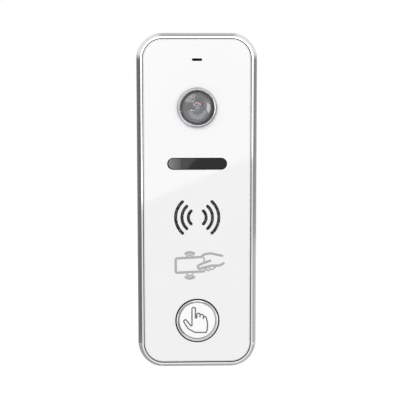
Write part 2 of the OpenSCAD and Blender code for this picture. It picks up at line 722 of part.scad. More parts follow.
module socket_shell() color([0.93, 0.92, 0.88]) at(0, socket_y, cover_z + 0.05) difference() {
  block(socket_w, socket_h, board_z - cover_z - 0.05);
  at(0, 0, -eps) block(socket_w - 1.4, socket_h - 1.4, 3.8);
  at(0, -socket_h / 2, -eps) block(3, 2, 2.4);
}

module socket_pins() color([0.85, 0.75, 0.45]) at(0, socket_y, cover_z + 0.9)
  for (i = [0:pin_count - 1]) at((i - (pin_count - 1) / 2) * pin_pitch, 0) block(0.5, 0.5, 2.94);

// ---------------------------------------------------------------- nodes

standing() bezel_frame();
standing() face_plate();
standing() plate_adhesive();
standing() inner_chassis();
standing() rear_cover();
standing() rear_seal();
standing() cover_screws();
standing() wall_bracket();
standing() locking_screw();
standing() camera_ring();
standing() ring_nut();
standing() camera_dome();
standing() dome_gasket();
standing() lens_barrel();
standing() lens_front_glass();
standing() lens_rear_glass();
standing() lens_holder();
standing() holder_screws();
standing() ir_cut_filter();
standing() image_sensor();
standing() camera_board();
standing() camera_screws();
standing() flat_cable();
standing() cable_latches();
standing() ir_window();
standing() ir_leds();
standing() light_sensor();
standing() speaker_mesh();
standing() speaker_gasket();
standing() speaker_basket();
standing() speaker_cone();
standing() speaker_magnet();
standing() speaker_leads();
standing() mic_boot();
standing() mic_capsule();
standing() mic_leads();
standing() card_coil();
standing() button_ring();
standing() button_seal();
standing() button_cap();
standing() button_spring();
standing() switch_body();
standing() switch_plunger();
standing() button_leds();
standing() main_board();
standing() board_screws();
standing() controller_chip();
standing() video_chip();
standing() audio_amplifier();
standing() lock_driver();
standing() power_inductor();
standing() tantalum_capacitors();
standing() trimmer_body();
standing() trimmer_rotor();
standing() socket_shell();
standing() socket_pins();
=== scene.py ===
"""Looks of a slim wall-mounted video doorbell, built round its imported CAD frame.

Lengths in the helpers are millimetres on the face: x to the right, y up, and z out from the
wall. The row frame is metres, with the face looking along -Y.
"""

import json
import math

import bmesh
import bpy
import numpy as np
from mathutils import Matrix, Vector


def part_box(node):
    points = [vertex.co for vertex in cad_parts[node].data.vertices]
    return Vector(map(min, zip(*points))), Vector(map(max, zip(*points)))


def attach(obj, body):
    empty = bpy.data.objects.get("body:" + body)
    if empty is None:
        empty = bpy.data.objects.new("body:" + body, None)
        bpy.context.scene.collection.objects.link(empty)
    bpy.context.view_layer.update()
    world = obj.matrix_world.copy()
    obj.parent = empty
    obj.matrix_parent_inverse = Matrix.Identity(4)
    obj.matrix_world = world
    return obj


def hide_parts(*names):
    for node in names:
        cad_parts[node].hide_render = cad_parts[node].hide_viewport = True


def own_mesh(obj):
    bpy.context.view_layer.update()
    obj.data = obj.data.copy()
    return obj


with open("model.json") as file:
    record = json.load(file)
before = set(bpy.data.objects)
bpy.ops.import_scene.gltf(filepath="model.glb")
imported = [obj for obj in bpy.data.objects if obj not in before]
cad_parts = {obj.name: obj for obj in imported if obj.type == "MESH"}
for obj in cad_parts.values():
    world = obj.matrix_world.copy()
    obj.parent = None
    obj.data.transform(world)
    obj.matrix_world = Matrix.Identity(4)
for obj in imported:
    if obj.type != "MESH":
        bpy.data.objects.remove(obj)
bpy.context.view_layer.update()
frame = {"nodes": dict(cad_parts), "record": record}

bl_info = {
    "name": "Video Doorbell Looks",
    "version": (1, 0, 0),
    "blender": (4, 5, 0),
    "location": "3D View > Sidebar > Doorbell",
    "description": "Builds the fine pieces, the finishes and the studio of a video doorbell",
    "category": "Object",
}

MM = 0.001
# How fast the infrared window falls away towards its ends, per millimetre cubed.
END_FALL = 2.2e-5
# How far printed ink reaches into what it is on, and how far overlapping ink is raised.
INK_ROOT, INK_LAYER = 0.005, 0.0015


# ------------------------------------------------------------------ places taken from the CAD


def face_box(node):
    """A CAD node's box in face millimetres: (x0, y0, z0), (x1, y1, z1)."""
    low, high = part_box(node)
    return (
        np.array([low.x, low.z, -high.y]) / MM,
        np.array([high.x, high.z, -low.y]) / MM,
    )


PLATE_FRONT = face_box("face_plate")[1][2]
RIM_FRONT = face_box("bezel_frame")[1][2]
CAP_LOW, CAP_HIGH = face_box("button_cap")
CAP_FRONT = CAP_HIGH[2]
BUTTON_Y = (CAP_LOW[1] + CAP_HIGH[1]) / 2


# ------------------------------------------------------------------ settings


def colour_setting(name, text, value):
    """A colour property whose default is an sRGB hex value."""
    return bpy.props.FloatVectorProperty(
        name=name, description=text, subtype="COLOR", size=3, min=0, max=1, default=linear(value)
    )


def length_setting(name, text, millimetres, low, high):
    """A length property in metres, with its default and limits given in millimetres."""
    return bpy.props.FloatProperty(
        name=name,
        description=text,
        unit="LENGTH",
        precision=5,
        default=millimetres * MM,
        min=low * MM,
        max=high * MM,
    )


def linear(hex_value):
    """sRGB hex to linear light: the straight part below 0.04045, the 2.4 power above it."""
    parts = [int(hex_value[i : i + 2], 16) / 255 for i in (1, 3, 5)]
    return tuple(c / 12.92 if c <= 0.04045 else ((c + 0.055) / 1.055) ** 2.4 for c in parts)


class DoorbellSpeakerCloth(bpy.types.PropertyGroup):
    """Sizes of the woven wire behind the sound slots."""

    pitch: length_setting("Wire pitch", "Distance from one wire to the next", 0.45, 0.3, 1)
    wire: length_setting("Wire thickness", "Diameter of one wire", 0.14, 0.08, 0.15)


class DoorbellSpring(bpy.types.PropertyGroup):
    """Sizes of the call button's spring."""

    wire: length_setting("Wire thickness", "Diameter of the wire", 0.45, 0.3, 0.46)
    turns: bpy.props.FloatProperty(
        name="Turns", description="Turns with the flat end turns", default=5.5, min=4, max=7
    )


class DoorbellWindow(bpy.types.PropertyGroup):
    """Shape of the smoked infrared window."""

    crown: bpy.props.FloatProperty(
        name="Crown",
        description="How much the front turns sideways, in radians per millimetre",
        default=0.0034,
        min=0,
        max=0.005,
    )
    tilt: bpy.props.FloatProperty(
        name="Tilt",
        description="How far the front leans down",
        subtype="ANGLE",
        default=0.0203,
        min=0,
        max=0.03,
    )


class DoorbellDome(bpy.types.PropertyGroup):
    """Shape of the camera's clear dome."""

    rise: length_setting("Rise", "How far the apex stands above the rim", 1.5, 1, 2)
    wall: length_setting("Wall", "Thickness of the moulding", 0.9, 0.6, 1)
    veil: bpy.props.FloatProperty(
        name="Veil",
        description="Share of the light that the coating scatters",
        default=0.09,
        min=0,
        max=0.5,
    )


class DoorbellMarks(bpy.types.PropertyGroup):
    """The printed marks on the button and over the card reader."""

    hand_stroke: length_setting("Hand line", "Line width of the pointing hand", 0.46, 0.44, 0.6)
    card_stroke: length_setting("Card line", "Line width of the card mark", 0.85, 0.6, 1.0)
    wave_stroke: length_setting("Wave line", "Line width of the radio waves", 0.55, 0.3, 0.6)
    ink_height: length_setting("Ink height", "How far the ink stands proud", 0.02, 0.01, 0.05)
    hand_ink: colour_setting("Hand ink", "Ink of the pointing hand", "#5E5E60")
    card_ink: colour_setting("Card ink", "Ink of the card mark", "#A9A9AB")


class DoorbellFinish(bpy.types.PropertyGroup):
    """Colours of the finishes that show."""

    metal: colour_setting("Frame metal", "Bright plated die-cast frame", "#E2E3E6")
    face: colour_setting("Face", "White back-painted acrylic", "#F2F2F3")
    cap: colour_setting("Button cap", "White moulded cap", "#FBFBFB")
    cover: colour_setting("Rear cover", "Moulded rear cover", "#6C6F73")
    board: colour_setting("Board", "Solder mask of the boards", "#1E5B3A")


class DoorbellStudio(bpy.types.PropertyGroup):
    """The camera's place and the level of the lights."""

    azimuth: bpy.props.FloatProperty(
        name="Camera azimuth",
        description="Turn from the face's axis, positive to the right",
        subtype="ANGLE",
        default=math.radians(-1.75),
    )
    elevation: bpy.props.FloatProperty(
        name="Camera elevation",
        description="Height above the face's axis",
        subtype="ANGLE",
        default=math.radians(5.462),
    )
    roll: bpy.props.FloatProperty(
        name="Camera roll",
        description="Turn about the line of sight",
        subtype="ANGLE",
        default=math.radians(-0.086),
    )
    distance: length_setting("Camera distance", "From the face's centre", 320.6, 200, 600)
    lens: bpy.props.FloatProperty(
        name="Lens", description="Focal length", unit="CAMERA", default=82.48, min=30, max=200
    )
    ambient: bpy.props.FloatProperty(
        name="Ambient", description="Light from all round", default=0.765, min=0, max=1
    )
    key: bpy.props.FloatProperty(
        name="Key light", description="Power of the key lamp", unit="POWER", default=4.4, min=0
    )
    fill: bpy.props.FloatProperty(
        name="Fill lights", description="Power of each fill lamp", unit="POWER", default=1.78, min=0
    )
    shift_x: bpy.props.FloatProperty(
        name="Shift X", description="Sideways shift of the camera's frame", default=0.0070
    )
    shift_y: bpy.props.FloatProperty(
        name="Shift Y", description="Upward shift of the camera's frame", default=0.0073
    )


# ------------------------------------------------------------------ surfaces


def to_row(points):
    """Face millimetres (x, y, z) to row-frame metres (x, -z, y)."""
    points = np.asarray(points, float)
    return np.stack([points[..., 0], -points[..., 2], points[..., 1]], axis=-1) * MM


def grid_faces(rows, columns, first=0):
    """Quads of a grid of rows by columns points, whose columns close on themselves."""
    r, c = np.meshgrid(np.arange(rows - 1), np.arange(columns), indexing="ij")
    c2 = (c + 1) % columns
    quads = np.stack(
        [r * columns + c, r * columns + c2, (r + 1) * columns + c2, (r + 1) * columns + c], -1
    )
    return quads.reshape(-1, 4) + first


def swept(rings):
    """A closed skin over rings of shape (rows, columns, 3): quads between neighbouring
    rings, and one flat face over the first and the last ring. Returns points and faces."""
    rows, columns = rings.shape[:2]
    faces = grid_faces(rows, columns).tolist()
    faces.append(list(range(columns))[::-1])
    faces.append(list(range((rows - 1) * columns, rows * columns)))
    return rings.reshape(-1, 3), faces


def joined(parts):
    """Several (points, faces) pairs as one."""
    points, faces, first = [], [], 0
    for part_points, part_faces in parts:
        points.append(part_points)
        faces.extend([[i + first for i in face] for face in part_faces])
        first += len(part_points)
    return np.concatenate(points), faces


def piece(name, shape, material, body, smooth=False, weld=1e-7):
    """A mesh object in the row frame from face-millimetre points and faces, with doubled
    points welded and its faces turned outwards, riding on a body."""
    points, faces = shape
    mesh = bpy.data.meshes.new(name)
    mesh.from_pydata(to_row(points).tolist(), [], faces)
    cleaned = bmesh.new()
    cleaned.from_mesh(mesh)
    bmesh.ops.remove_doubles(cleaned, verts=cleaned.verts, dist=weld)
    bmesh.ops.recalc_face_normals(cleaned, faces=cleaned.faces)
    cleaned.to_mesh(mesh)
    cleaned.free()
    if smooth:
        mesh.shade_smooth()
        mesh.set_sharp_from_angle(angle=math.radians(40))
    else:
        mesh.shade_flat()
    mesh.materials.append(material)
    built = bpy.data.objects.new(name, mesh)
    bpy.context.scene.collection.objects.link(built)
    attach(built, body)
    return built


def round_wire(path, radius, sides):
    """A round wire along a path: at each point a circle of the given radius, in the plane
    of the path's side direction and the direction square to both it and the path."""
    path = np.asarray(path, float)
    along = np.gradient(path, axis=0)
    along /= np.linalg.norm(along, axis=1, keepdims=True)
    side = np.cross(along, [0.0, 0.0, 1.0])
    side /= np.linalg.norm(side, axis=1, keepdims=True)
    up = np.cross(side, along)
    angle = np.linspace(0, 2 * math.pi, sides, endpoint=False)
    circle = (
        np.cos(angle)[None, :, None] * side[:, None, :]
        + np.sin(angle)[None, :, None] * up[:, None, :]
    )
    return swept(path[:, None, :] + radius * circle)


def turned(profile, centre, steps=96, closed=True):
    """A profile of (radius, z) points turned about the face's normal at a centre. A closed
    one ends where it starts, and an open one starts and ends on the axis."""
    profile = np.asarray(profile, float)
    angle = np.linspace(0, 2 * math.pi, steps, endpoint=False)
    line = np.vstack([profile, profile[:1]]) if closed else profile
    points = np.stack(
        [
            centre[0] + line[:, :1] * np.cos(angle),
            centre[1] + line[:, :1] * np.sin(angle),
            np.broadcast_to(line[:, 1:], (len(line), steps)),
        ],
        axis=-1,
    )
    return points.reshape(-1, 3), grid_faces(len(line), steps).tolist()


def filleted(corners, steps=10):
    """A line through corners (x, y, radius), each rounded by an arc that touches both of
    its sides: the arc starts radius * tan(turn / 2) before the corner."""
    corners = [tuple(c) + (0.0,) * (3 - len(c)) for c in corners]
    line = [np.array(corners[0][:2])]
    for before, corner, after in zip(corners, corners[1:], corners[2:]):
        here = np.array(corner[:2])
        inward = here - np.array(before[:2])
        outward = np.array(after[:2]) - here
        inward /= np.linalg.norm(inward)
        outward /= np.linalg.norm(outward)
        cross = inward[0] * outward[1] - inward[1] * outward[0]
        turn = math.atan2(cross, float(inward @ outward))
        radius = corner[2]
        start = here - inward * radius * math.tan(abs(turn) / 2)
        normal = np.array([-inward[1], inward[0]]) * math.copysign(1, turn)
        middle = start + normal * radius
        angle = np.linspace(0, turn, steps + 1)
        arm = start - middle
        arc = np.stack(
            [
                arm[0] * np.cos(angle) - arm[1] * np.sin(angle),
                arm[0] * np.sin(angle) + arm[1] * np.cos(angle),
            ],
            axis=-1,
        )
        line.extend(middle + arc)
    line.append(np.array(corners[-1][:2]))
    return np.array(line)


def stroke(line, width, centre, z, height):
    """A printed line: a flat ribbon of the given width along a line, with round ends, closed
    by a top and a bottom face. At each end the half width shrinks as a circle's does."""
    line = np.asarray(line, float)
    gaps = np.linalg.norm(np.diff(line, axis=0), axis=1)
    line = line[np.concatenate([[True], gaps > 1e-4])]
    half, end_steps = width / 2, 6
    first = (line[0] - line[1]) / np.linalg.norm(line[0] - line[1])
    last = (line[-1] - line[-2]) / np.linalg.norm(line[-1] - line[-2])
    reach = np.sin(np.linspace(0, math.pi / 2, end_steps + 1))[1:]
    narrow = np.sqrt(np.clip(1 - reach**2, 0.0004, 1))
    line = np.vstack(
        [line[0] + first * half * reach[::-1, None], line, line[-1] + last * half * reach[:, None]]
    )
    full = np.ones(len(line) - 2 * end_steps)
    halves = half * np.concatenate([narrow[::-1], full, narrow])
    along = np.gradient(line, axis=0)
    along /= np.linalg.norm(along, axis=1, keepdims=True)
    side = np.stack([-along[:, 1], along[:, 0]], axis=-1) * halves[:, None]
    left, right = line + side + centre, line - side + centre
    low, high = np.full((len(line), 1), z), np.full((len(line), 1), z + height)
    sides = ((left, low), (left, high), (right, high), (right, low))
    return swept(np.stack([np.hstack(side) for side in sides], axis=1))


def dome_ball(radius, rise):
    """Radius of the ball, or circle, whose cap has this radius, or half width, and rise."""
    return (radius**2 + rise**2) / (2 * rise)


def pill_outline(width, height, steps=24):
    """Points round a pill: two half circles of half the height, joined by straight sides."""
    radius = height / 2
    straight = width / 2 - radius
    turn = np.linspace(-math.pi / 2, math.pi / 2, steps)
    side = np.linspace(-1, 1, steps, endpoint=False)[1:]
    right = np.stack([straight + radius * np.cos(turn), radius * np.sin(turn)], -1)
    top = np.stack([-straight * side, np.full(side.shape, radius)], -1)
    return np.vstack([right, top, -right, -top])


# ------------------------------------------------------------------ finishes

# Sizes in millimetres of the slow patterns: patches left by handling, waves left by hand
# polishing and by moulding, waves in a cast sheet, and clouds in its gloss.
HANDLING = 100 / 9
POLISH_WAVE = 25 / 3
SHEET_WAVE = 25
GLOSS_CLOUD = 20 / 3
RGB = {"data_type": "RGBA"}


def per(millimetres):
    """Noise scale that makes grains of this size."""
    return 1 / (millimetres * MM)


def shade(colour, level=1.0):
    """A colour, sRGB hex or linear, times a level and at most white, with alpha 1."""
    base = linear(colour) if isinstance(colour, str) else tuple(colour)
    return tuple(min(1.0, c * level) for c in base) + (1,)


def add(tree, kind, sockets=None, **settings):
    """Adds a node, gives it its settings, and fills its sockets. A socket takes a plain
    value, another node's output, or another node, which stands for its first output in
    use."""
    made = tree.nodes.new(kind)
    for name, value in settings.items():
        setattr(made, name, value)
    for name, value in (sockets or {}).items():
        if isinstance(value, bpy.types.Node):
            value = next(output for output in value.outputs if output.enabled)
        if isinstance(value, bpy.types.NodeSocket):
            tree.links.new(value, made.inputs[name])
        else:
            made.inputs[name].default_value = value
    return made


def blank(name):
    """A new material with an empty node tree. Returns the material and the tree."""
    material = bpy.data.materials.new(name)
    material.use_nodes = True
    material.node_tree.nodes.clear()
    return material, material.node_tree


def surfaced(tree, bump, sockets):
    """Ends a material's tree with a bump, given as its height, strength and depth in
    millimetres, and a shader with these sockets. Returns the shader."""
    height, strength, depth = bump
    normal = add(
        tree, "ShaderNodeBump", {"Height": height, "Strength": strength, "Distance": depth * MM}
    )
    shader = add(tree, "ShaderNodeBsdfPrincipled", {"Normal": normal, **sockets})
    add(tree, "ShaderNodeOutputMaterial", {"Surface": shader})
    return shader


def facing_front(tree):
    """The surface's own direction along Y: -1 where it faces the front, 0 on the sides."""
    direction = add(tree, "ShaderNodeNewGeometry").outputs["True Normal"]
    return add(tree, "ShaderNodeSeparateXYZ", {"Vector": direction}).outputs["Y"]


def finish(
    name, colour, metallic=0.0, roughness=0.4, ior=None, grain=0.3, bump=0.1, depth=0.02,
    mottle=0.04, shine=0.06, edge=None, extra=None,
):
    """A surface with a fine grain. Grain is the size of one grain in millimetres, depth how
    deep it is, mottle how much the colour varies, and shine how much the roughness varies.
    Edge is a second colour that shows where a slow noise is high, as wear and handling do.
    Extra holds more sockets of the shader."""
    material, tree = blank(name)
    place = add(tree, "ShaderNodeTexCoord").outputs["Object"]
    fine = add(
        tree, "ShaderNodeTexNoise",
        {"Vector": place, "Scale": per(grain), "Detail": 3.0, "Roughness": 0.6},
    )
    slow = add(tree, "ShaderNodeTexNoise", {"Vector": place, "Scale": per(HANDLING)})
    dark, light = shade(colour, 1 - mottle), shade(colour, 1 + mottle / 2)
    paint = add(tree, "ShaderNodeMix", {"Factor": fine, "A": dark, "B": light}, **RGB)
    if edge:
        worn = add(
            tree, "ShaderNodeMapRange", {"Value": slow, "From Min": 0.5, "From Max": 0.75}
        )
        paint = add(tree, "ShaderNodeMix", {"Factor": worn, "A": paint, "B": shade(edge)}, **RGB)
    rough = add(tree, "ShaderNodeMapRange", {
        "Value": slow, "From Min": 0.3, "From Max": 0.7,
        "To Min": max(0.0, roughness - shine / 2), "To Max": min(1.0, roughness + shine / 2),
    })
    sockets = {"Base Color": paint, "Metallic": metallic, "Roughness": rough}
    if ior:
        sockets["IOR"] = ior
    surfaced(tree, (fine, bump, depth), sockets | (extra or {}))
    return material


def inward_wall(tree, place):
    """1 on walls that face the panel's middle line, 0 elsewhere: the dot product of the
    place, without its depth, and the surface's direction is negative there."""
    flat = add(tree, "ShaderNodeVectorMath", {0: place, 1: (1, 0, 1)}, operation="MULTIPLY")
    direction = add(tree, "ShaderNodeNewGeometry").outputs["True Normal"]
    product = add(
        tree, "ShaderNodeVectorMath", {0: flat, 1: direction}, operation="DOT_PRODUCT"
    )
    return add(
        tree, "ShaderNodeMapRange",
        {"Value": product, "From Min": -0.004, "From Max": -0.001, "To Min": 1.0, "To Max": 0.0},
    )


def plated_die_casting(colour):
    """Zinc alloy die casting, polished and bright plated. It mirrors its surroundings a little
    softly, with the faint waves of hand polishing, and its front rim, cut flat, mirrors
    sharply. Its sides are satin, and painted greyer as a painted shade. The wall and ledge
    inside the rim are painted dark grey as a painted shade, so that the gap round the plate
    looks dark. Real polishing grain is 0.05 mm, drawn at 0.25 mm so that it shows."""
    material, tree = blank("plated_die_casting")
    place = add(tree, "ShaderNodeTexCoord").outputs["Object"]
    depth = add(tree, "ShaderNodeSeparateXYZ", {"Vector": place}).outputs["Y"]
    facing = facing_front(tree)
    grain = add(tree, "ShaderNodeTexNoise", {"Vector": place, "Scale": per(0.25), "Detail": 3.0})
    wave = add(tree, "ShaderNodeTexNoise", {"Vector": place, "Scale": per(POLISH_WAVE)})
    behind_rim = add(tree, "ShaderNodeMapRange", {
        "Value": depth, "From Min": (0.02 - RIM_FRONT) * MM, "From Max": (0.06 - RIM_FRONT) * MM,
        "To Min": 0.05, "To Max": 0.11,
    })
    satin = add(
        tree, "ShaderNodeMapRange", {"Value": facing, "From Min": -0.12, "From Max": -0.06}
    )
    rough = behind_rim
    for source, share in ((satin, 0.22), (wave, 0.05)):
        rough = add(
            tree, "ShaderNodeMath", {0: source, 1: share, 2: rough}, operation="MULTIPLY_ADD"
        )
    # The ledge under the plate's edge, painted dark as a painted shade: over 1 mm behind the rim,
    # and facing the front.
    deep = add(
        tree, "ShaderNodeMath", {0: depth, 1: (1.0 - RIM_FRONT) * MM}, operation="GREATER_THAN"
    )
    forward = add(tree, "ShaderNodeMath", {0: facing, 1: -0.95}, operation="LESS_THAN")
    ledge = add(tree, "ShaderNodeMath", {0: deep, 1: forward}, operation="MULTIPLY")
    bare = add(
        tree, "ShaderNodeMath", {0: ledge, 1: inward_wall(tree, place)}, operation="MAXIMUM"
    )
    # Painted shade: the sides are painted greyer, and the ledge and the inward walls dark grey.
    paint = shade(colour, 0.95)
    for share, layer in ((grain, shade(colour)), (satin, shade(colour, 0.7)),
                         (bare, shade("#3C3C3E"))):
        paint = add(tree, "ShaderNodeMix", {"Factor": share, "A": paint, "B": layer}, **RGB)
    surfaced(
        tree, (grain, 0.04, 0.01), {"Base Color": paint, "Metallic": 1.0, "Roughness": rough}
    )
    return material


def turned_ring():
    """Turned brass ring, nickel-chrome plated. Its front is polished to a clean mirror, and
    its rounded outer side is left satin and painted greyer, as a painted shade. The grain
    that polishing leaves is 0.05 mm, drawn at 0.4 mm so that it shows."""
    material, tree = blank("turned_chrome_ring")
    place = add(tree, "ShaderNodeTexCoord").outputs["Object"]
    satin = add(tree, "ShaderNodeMapRange", {
        "Value": facing_front(tree), "From Min": -0.985, "From Max": -0.94,
    })
    grain = add(tree, "ShaderNodeTexNoise", {"Vector": place, "Scale": per(0.4)})
    # Painted shade: the outer side, away from the front, is painted a greyer colour.
    paint = add(
        tree, "ShaderNodeMix",
        {"Factor": satin, "A": shade("#E6E7E8"), "B": shade("#C9CACC")}, **RGB
    )
    rough = add(
        tree, "ShaderNodeMapRange", {"Value": satin, "To Min": 0.06, "To Max": 0.25}
    )
    rough = add(
        tree, "ShaderNodeMath", {0: grain, 1: 0.03, 2: rough}, operation="MULTIPLY_ADD"
    )
    surfaced(
        tree, (grain, 0.02, 0.01), {"Base Color": paint, "Metallic": 1.0, "Roughness": rough}
    )
    return material


def back_painted_acrylic(colour):
    """Clear cast acrylic sheet, painted white behind and flame polished at its edge. It is
    glossy and nearly flat, its bevel is painted brighter than the face as a painted highlight,
    its cut walls are painted dark grey as a painted shade, and the sheet waves by a few
    microns over centimetres."""
    material, tree = blank("back_painted_acrylic")
    place = add(tree, "ShaderNodeTexCoord").outputs["Object"]
    facing = facing_front(tree)
    bevel = add(
        tree, "ShaderNodeMapRange", {"Value": facing, "From Min": -0.97, "From Max": -0.85}
    )
    wall = add(
        tree, "ShaderNodeMapRange", {"Value": facing, "From Min": -0.5, "From Max": -0.2}
    )
    wave = add(
        tree, "ShaderNodeTexNoise", {"Vector": place, "Scale": per(SHEET_WAVE), "Detail": 1.0}
    )
    cloud = add(
        tree, "ShaderNodeTexNoise", {"Vector": place, "Scale": per(GLOSS_CLOUD), "Detail": 4.0}
    )
    # Painted highlight on the bevel, brighter than the face, and painted shade on the cut walls,
    # dark grey.
    paint = shade(colour, 0.985)
    for share, layer in ((cloud, shade(colour)), (bevel, shade(colour, 1.08)),
                         (wall, shade("#2E2E30"))):
        paint = add(tree, "ShaderNodeMix", {"Factor": share, "A": paint, "B": layer}, **RGB)
    rough = add(tree, "ShaderNodeMapRange", {
        "Value": cloud, "From Min": 0.3, "From Max": 0.7, "To Min": 0.015, "To Max": 0.035,
    })
    surfaced(tree, (wave, 0.05, 0.01), {"Base Color": paint, "Roughness": rough, "IOR": 1.49})
    return material


def clear_moulding(name, tint, ior, roughness=0.0, coat=None, veil=0.0):
    """Clear plastic or glass, moulded or polished. Light goes through with a faint tint, a
    slow ripple bends what is behind it, and a coated lens adds a coloured reflection. A veil
    scatters a share of the light, as a hard coating or fine dust does, so that the inside
    looks paler and more even. Real dust is 0.02 mm, drawn at 0.4 mm."""
    material, tree = blank(name)
    place = add(tree, "ShaderNodeTexCoord").outputs["Object"]
    ripple = add(
        tree, "ShaderNodeTexNoise", {"Vector": place, "Scale": per(POLISH_WAVE), "Detail": 1.0}
    )
    dust = add(tree, "ShaderNodeTexNoise", {"Vector": place, "Scale": per(0.4), "Detail": 3.0})
    paint = add(
        tree, "ShaderNodeMix", {"Factor": dust, "A": shade(tint, 0.98), "B": shade(tint)}, **RGB
    )
    sockets = {
        "Base Color": paint, "Roughness": roughness, "IOR": ior, "Transmission Weight": 1.0,
    }
    if coat:
        sockets |= {"Specular Tint": shade(coat), "Specular IOR Level": 0.55}
    if veil:
        # The hard coating reflects in place of the moulding under it, a little softer.
        sockets |= {"Specular IOR Level": 0.1, "Coat Weight": 1.0, "Coat Roughness": 0.06}
    moulding = surfaced(tree, (ripple, 0.03, 0.01), sockets)
    if veil:
        haze = add(tree, "ShaderNodeBsdfDiffuse", {"Color": shade("#ABAAAC")})
        both = add(tree, "ShaderNodeMixShader", {"Fac": veil, 1: moulding, 2: haze})
        end = next(node for node in tree.nodes if node.type == "OUTPUT_MATERIAL")
        tree.links.new(both.outputs["Shader"], end.inputs["Surface"])
    return material


def two_part(name, behind, front, depth, metallic):
    """A plated metal body whose front, in front of a depth along Y, is a dull dark cover of
    felt. Its fibres are 0.02 mm, drawn at 0.1 mm."""
    material, tree = blank(name)
    place = add(tree, "ShaderNodeTexCoord").outputs["Object"]
    y = add(tree, "ShaderNodeSeparateXYZ", {"Vector": place}).outputs["Y"]
    body = add(tree, "ShaderNodeMath", {0: y, 1: depth}, operation="GREATER_THAN")
    fuzz = add(tree, "ShaderNodeTexNoise", {"Vector": place, "Scale": per(0.1)})
    paint = add(
        tree, "ShaderNodeMix", {"Factor": body, "A": shade(front), "B": shade(behind)}, **RGB
    )
    metal = add(tree, "ShaderNodeMath", {0: body, 1: metallic}, operation="MULTIPLY")
    rough = add(tree, "ShaderNodeMapRange", {"Value": body, "To Min": 0.9, "To Max": 0.28})
    surfaced(
        tree, (fuzz, 0.1, 0.02), {"Base Color": paint, "Metallic": metal, "Roughness": rough}
    )
    return material


def printed_ink(name, colour):
    """Pad-printed enamel ink: satin, opaque, with a slightly uneven film. The unevenness is
    0.05 mm, drawn at 0.12 mm."""
    return finish(name, colour, roughness=0.45, ior=1.5, grain=0.12, bump=0.06, depth=0.01,
                  mottle=0.03)


# ------------------------------------------------------------------ operators


class DOORBELL_OT_speaker_cloth(bpy.types.Operator):
    """Weaves the speaker's wire cloth and its pressed rim"""

    bl_idname = "doorbell.speaker_cloth"
    bl_label = "Speaker Cloth"

    def execute(self, context):
        """Wires lie along x and along y at the pitch. Each follows z = amplitude * cos(pi *
        distance / pitch), and its sign alternates from wire to wire and between the two
        directions, so that every crossing passes over and under. Real wires are about
        0.15 mm apart, and are drawn coarser so that they show."""
        sizes = context.scene.doorbell_speaker_cloth
        pitch, radius = sizes.pitch / MM, sizes.wire / MM / 2
        low, high = face_box("speaker_mesh")
        centre = (low + high) / 2
        outer, thick = (high[0] - low[0]) / 2, (high[2] - low[2]) / 2
        rim_width, rounding, tucked_in, steps_a_pitch = 0.45, 0.05, 0.3, 3
        reach = outer - tucked_in
        count = int(reach / pitch)
        wires = []
        for i in range(-count, count + 1):
            offset = i * pitch
            half = math.sqrt(reach**2 - offset**2)
            steps = max(3, int(2 * half / pitch * steps_a_pitch) + 1)
            t = np.linspace(-half, half, steps)
            swing = radius * np.cos(math.pi * t / pitch) * (-1) ** i
            across = np.stack([t, np.full(steps, offset), swing], -1) + centre
            upward = np.stack([np.full(steps, offset), t, -swing], -1) + centre
            wires += [round_wire(across, radius, 5), round_wire(upward, radius, 5)]
        rim = [(rim_width, -thick), (rounding, -thick), (0.0, 0.0), (rounding, thick),
               (rim_width, thick)]
        wires.append(turned([(outer - inset, centre[2] + z) for inset, z in rim], centre))
        # Drawn steel wire, woven and pickled: pale grey, with a fine mottle.
        steel = finish("woven_steel_wire", "#C6C6C9", 1.0, 0.45, grain=0.2, bump=0.05, mottle=0.1)
        cloth = piece("speaker_cloth", joined(wires), steel, "panel", smooth=True)
        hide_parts("speaker_mesh")
        return {"FINISHED"}


class DOORBELL_OT_button_spring(bpy.types.Operator):
    """Winds the call button's spring"""

    bl_idname = "doorbell.button_spring"
    bl_label = "Button Spring"

    def execute(self, context):
        """The wire's centre runs round a circle while its height rises slowly over the end
        turns, by one wire per turn, and evenly over the turns between them."""
        sizes = context.scene.doorbell_spring
        wire = sizes.wire / MM
        low, high = face_box("button_spring")
        centre = (low + high) / 2
        mean = (high[0] - low[0] - wire) / 2
        # The end turns' length in turns, their pitch in wires, and the room left at each end.
        flat, pitch, room, steps_a_turn = 0.75, 1.04, 0.01, 48
        turn = np.linspace(0, sizes.turns, int(sizes.turns * steps_a_turn) + 1)
        foot, top = low[2] + wire / 2 + room, high[2] - wire / 2 - room
        knots = [0, flat, sizes.turns - flat, sizes.turns]
        rise = flat * wire * pitch
        height = np.interp(turn, knots, [foot, foot + rise, top - rise, top])
        angle = 2 * math.pi * turn
        path = np.stack(
            [centre[0] + mean * np.cos(angle), centre[1] + mean * np.sin(angle), height], -1
        )
        # Cold-drawn music wire: bright, with faint drawing marks.
        steel = finish("music_wire", "#B9BABD", 1.0, 0.25, grain=0.3, bump=0.04, mottle=0.08)
        spring = piece(
            "button_spring_wire", round_wire(path, wire / 2, 12), steel, "panel",
            smooth=True,
        )
        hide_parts("button_spring")
        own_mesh(spring)
        return {"FINISHED"}


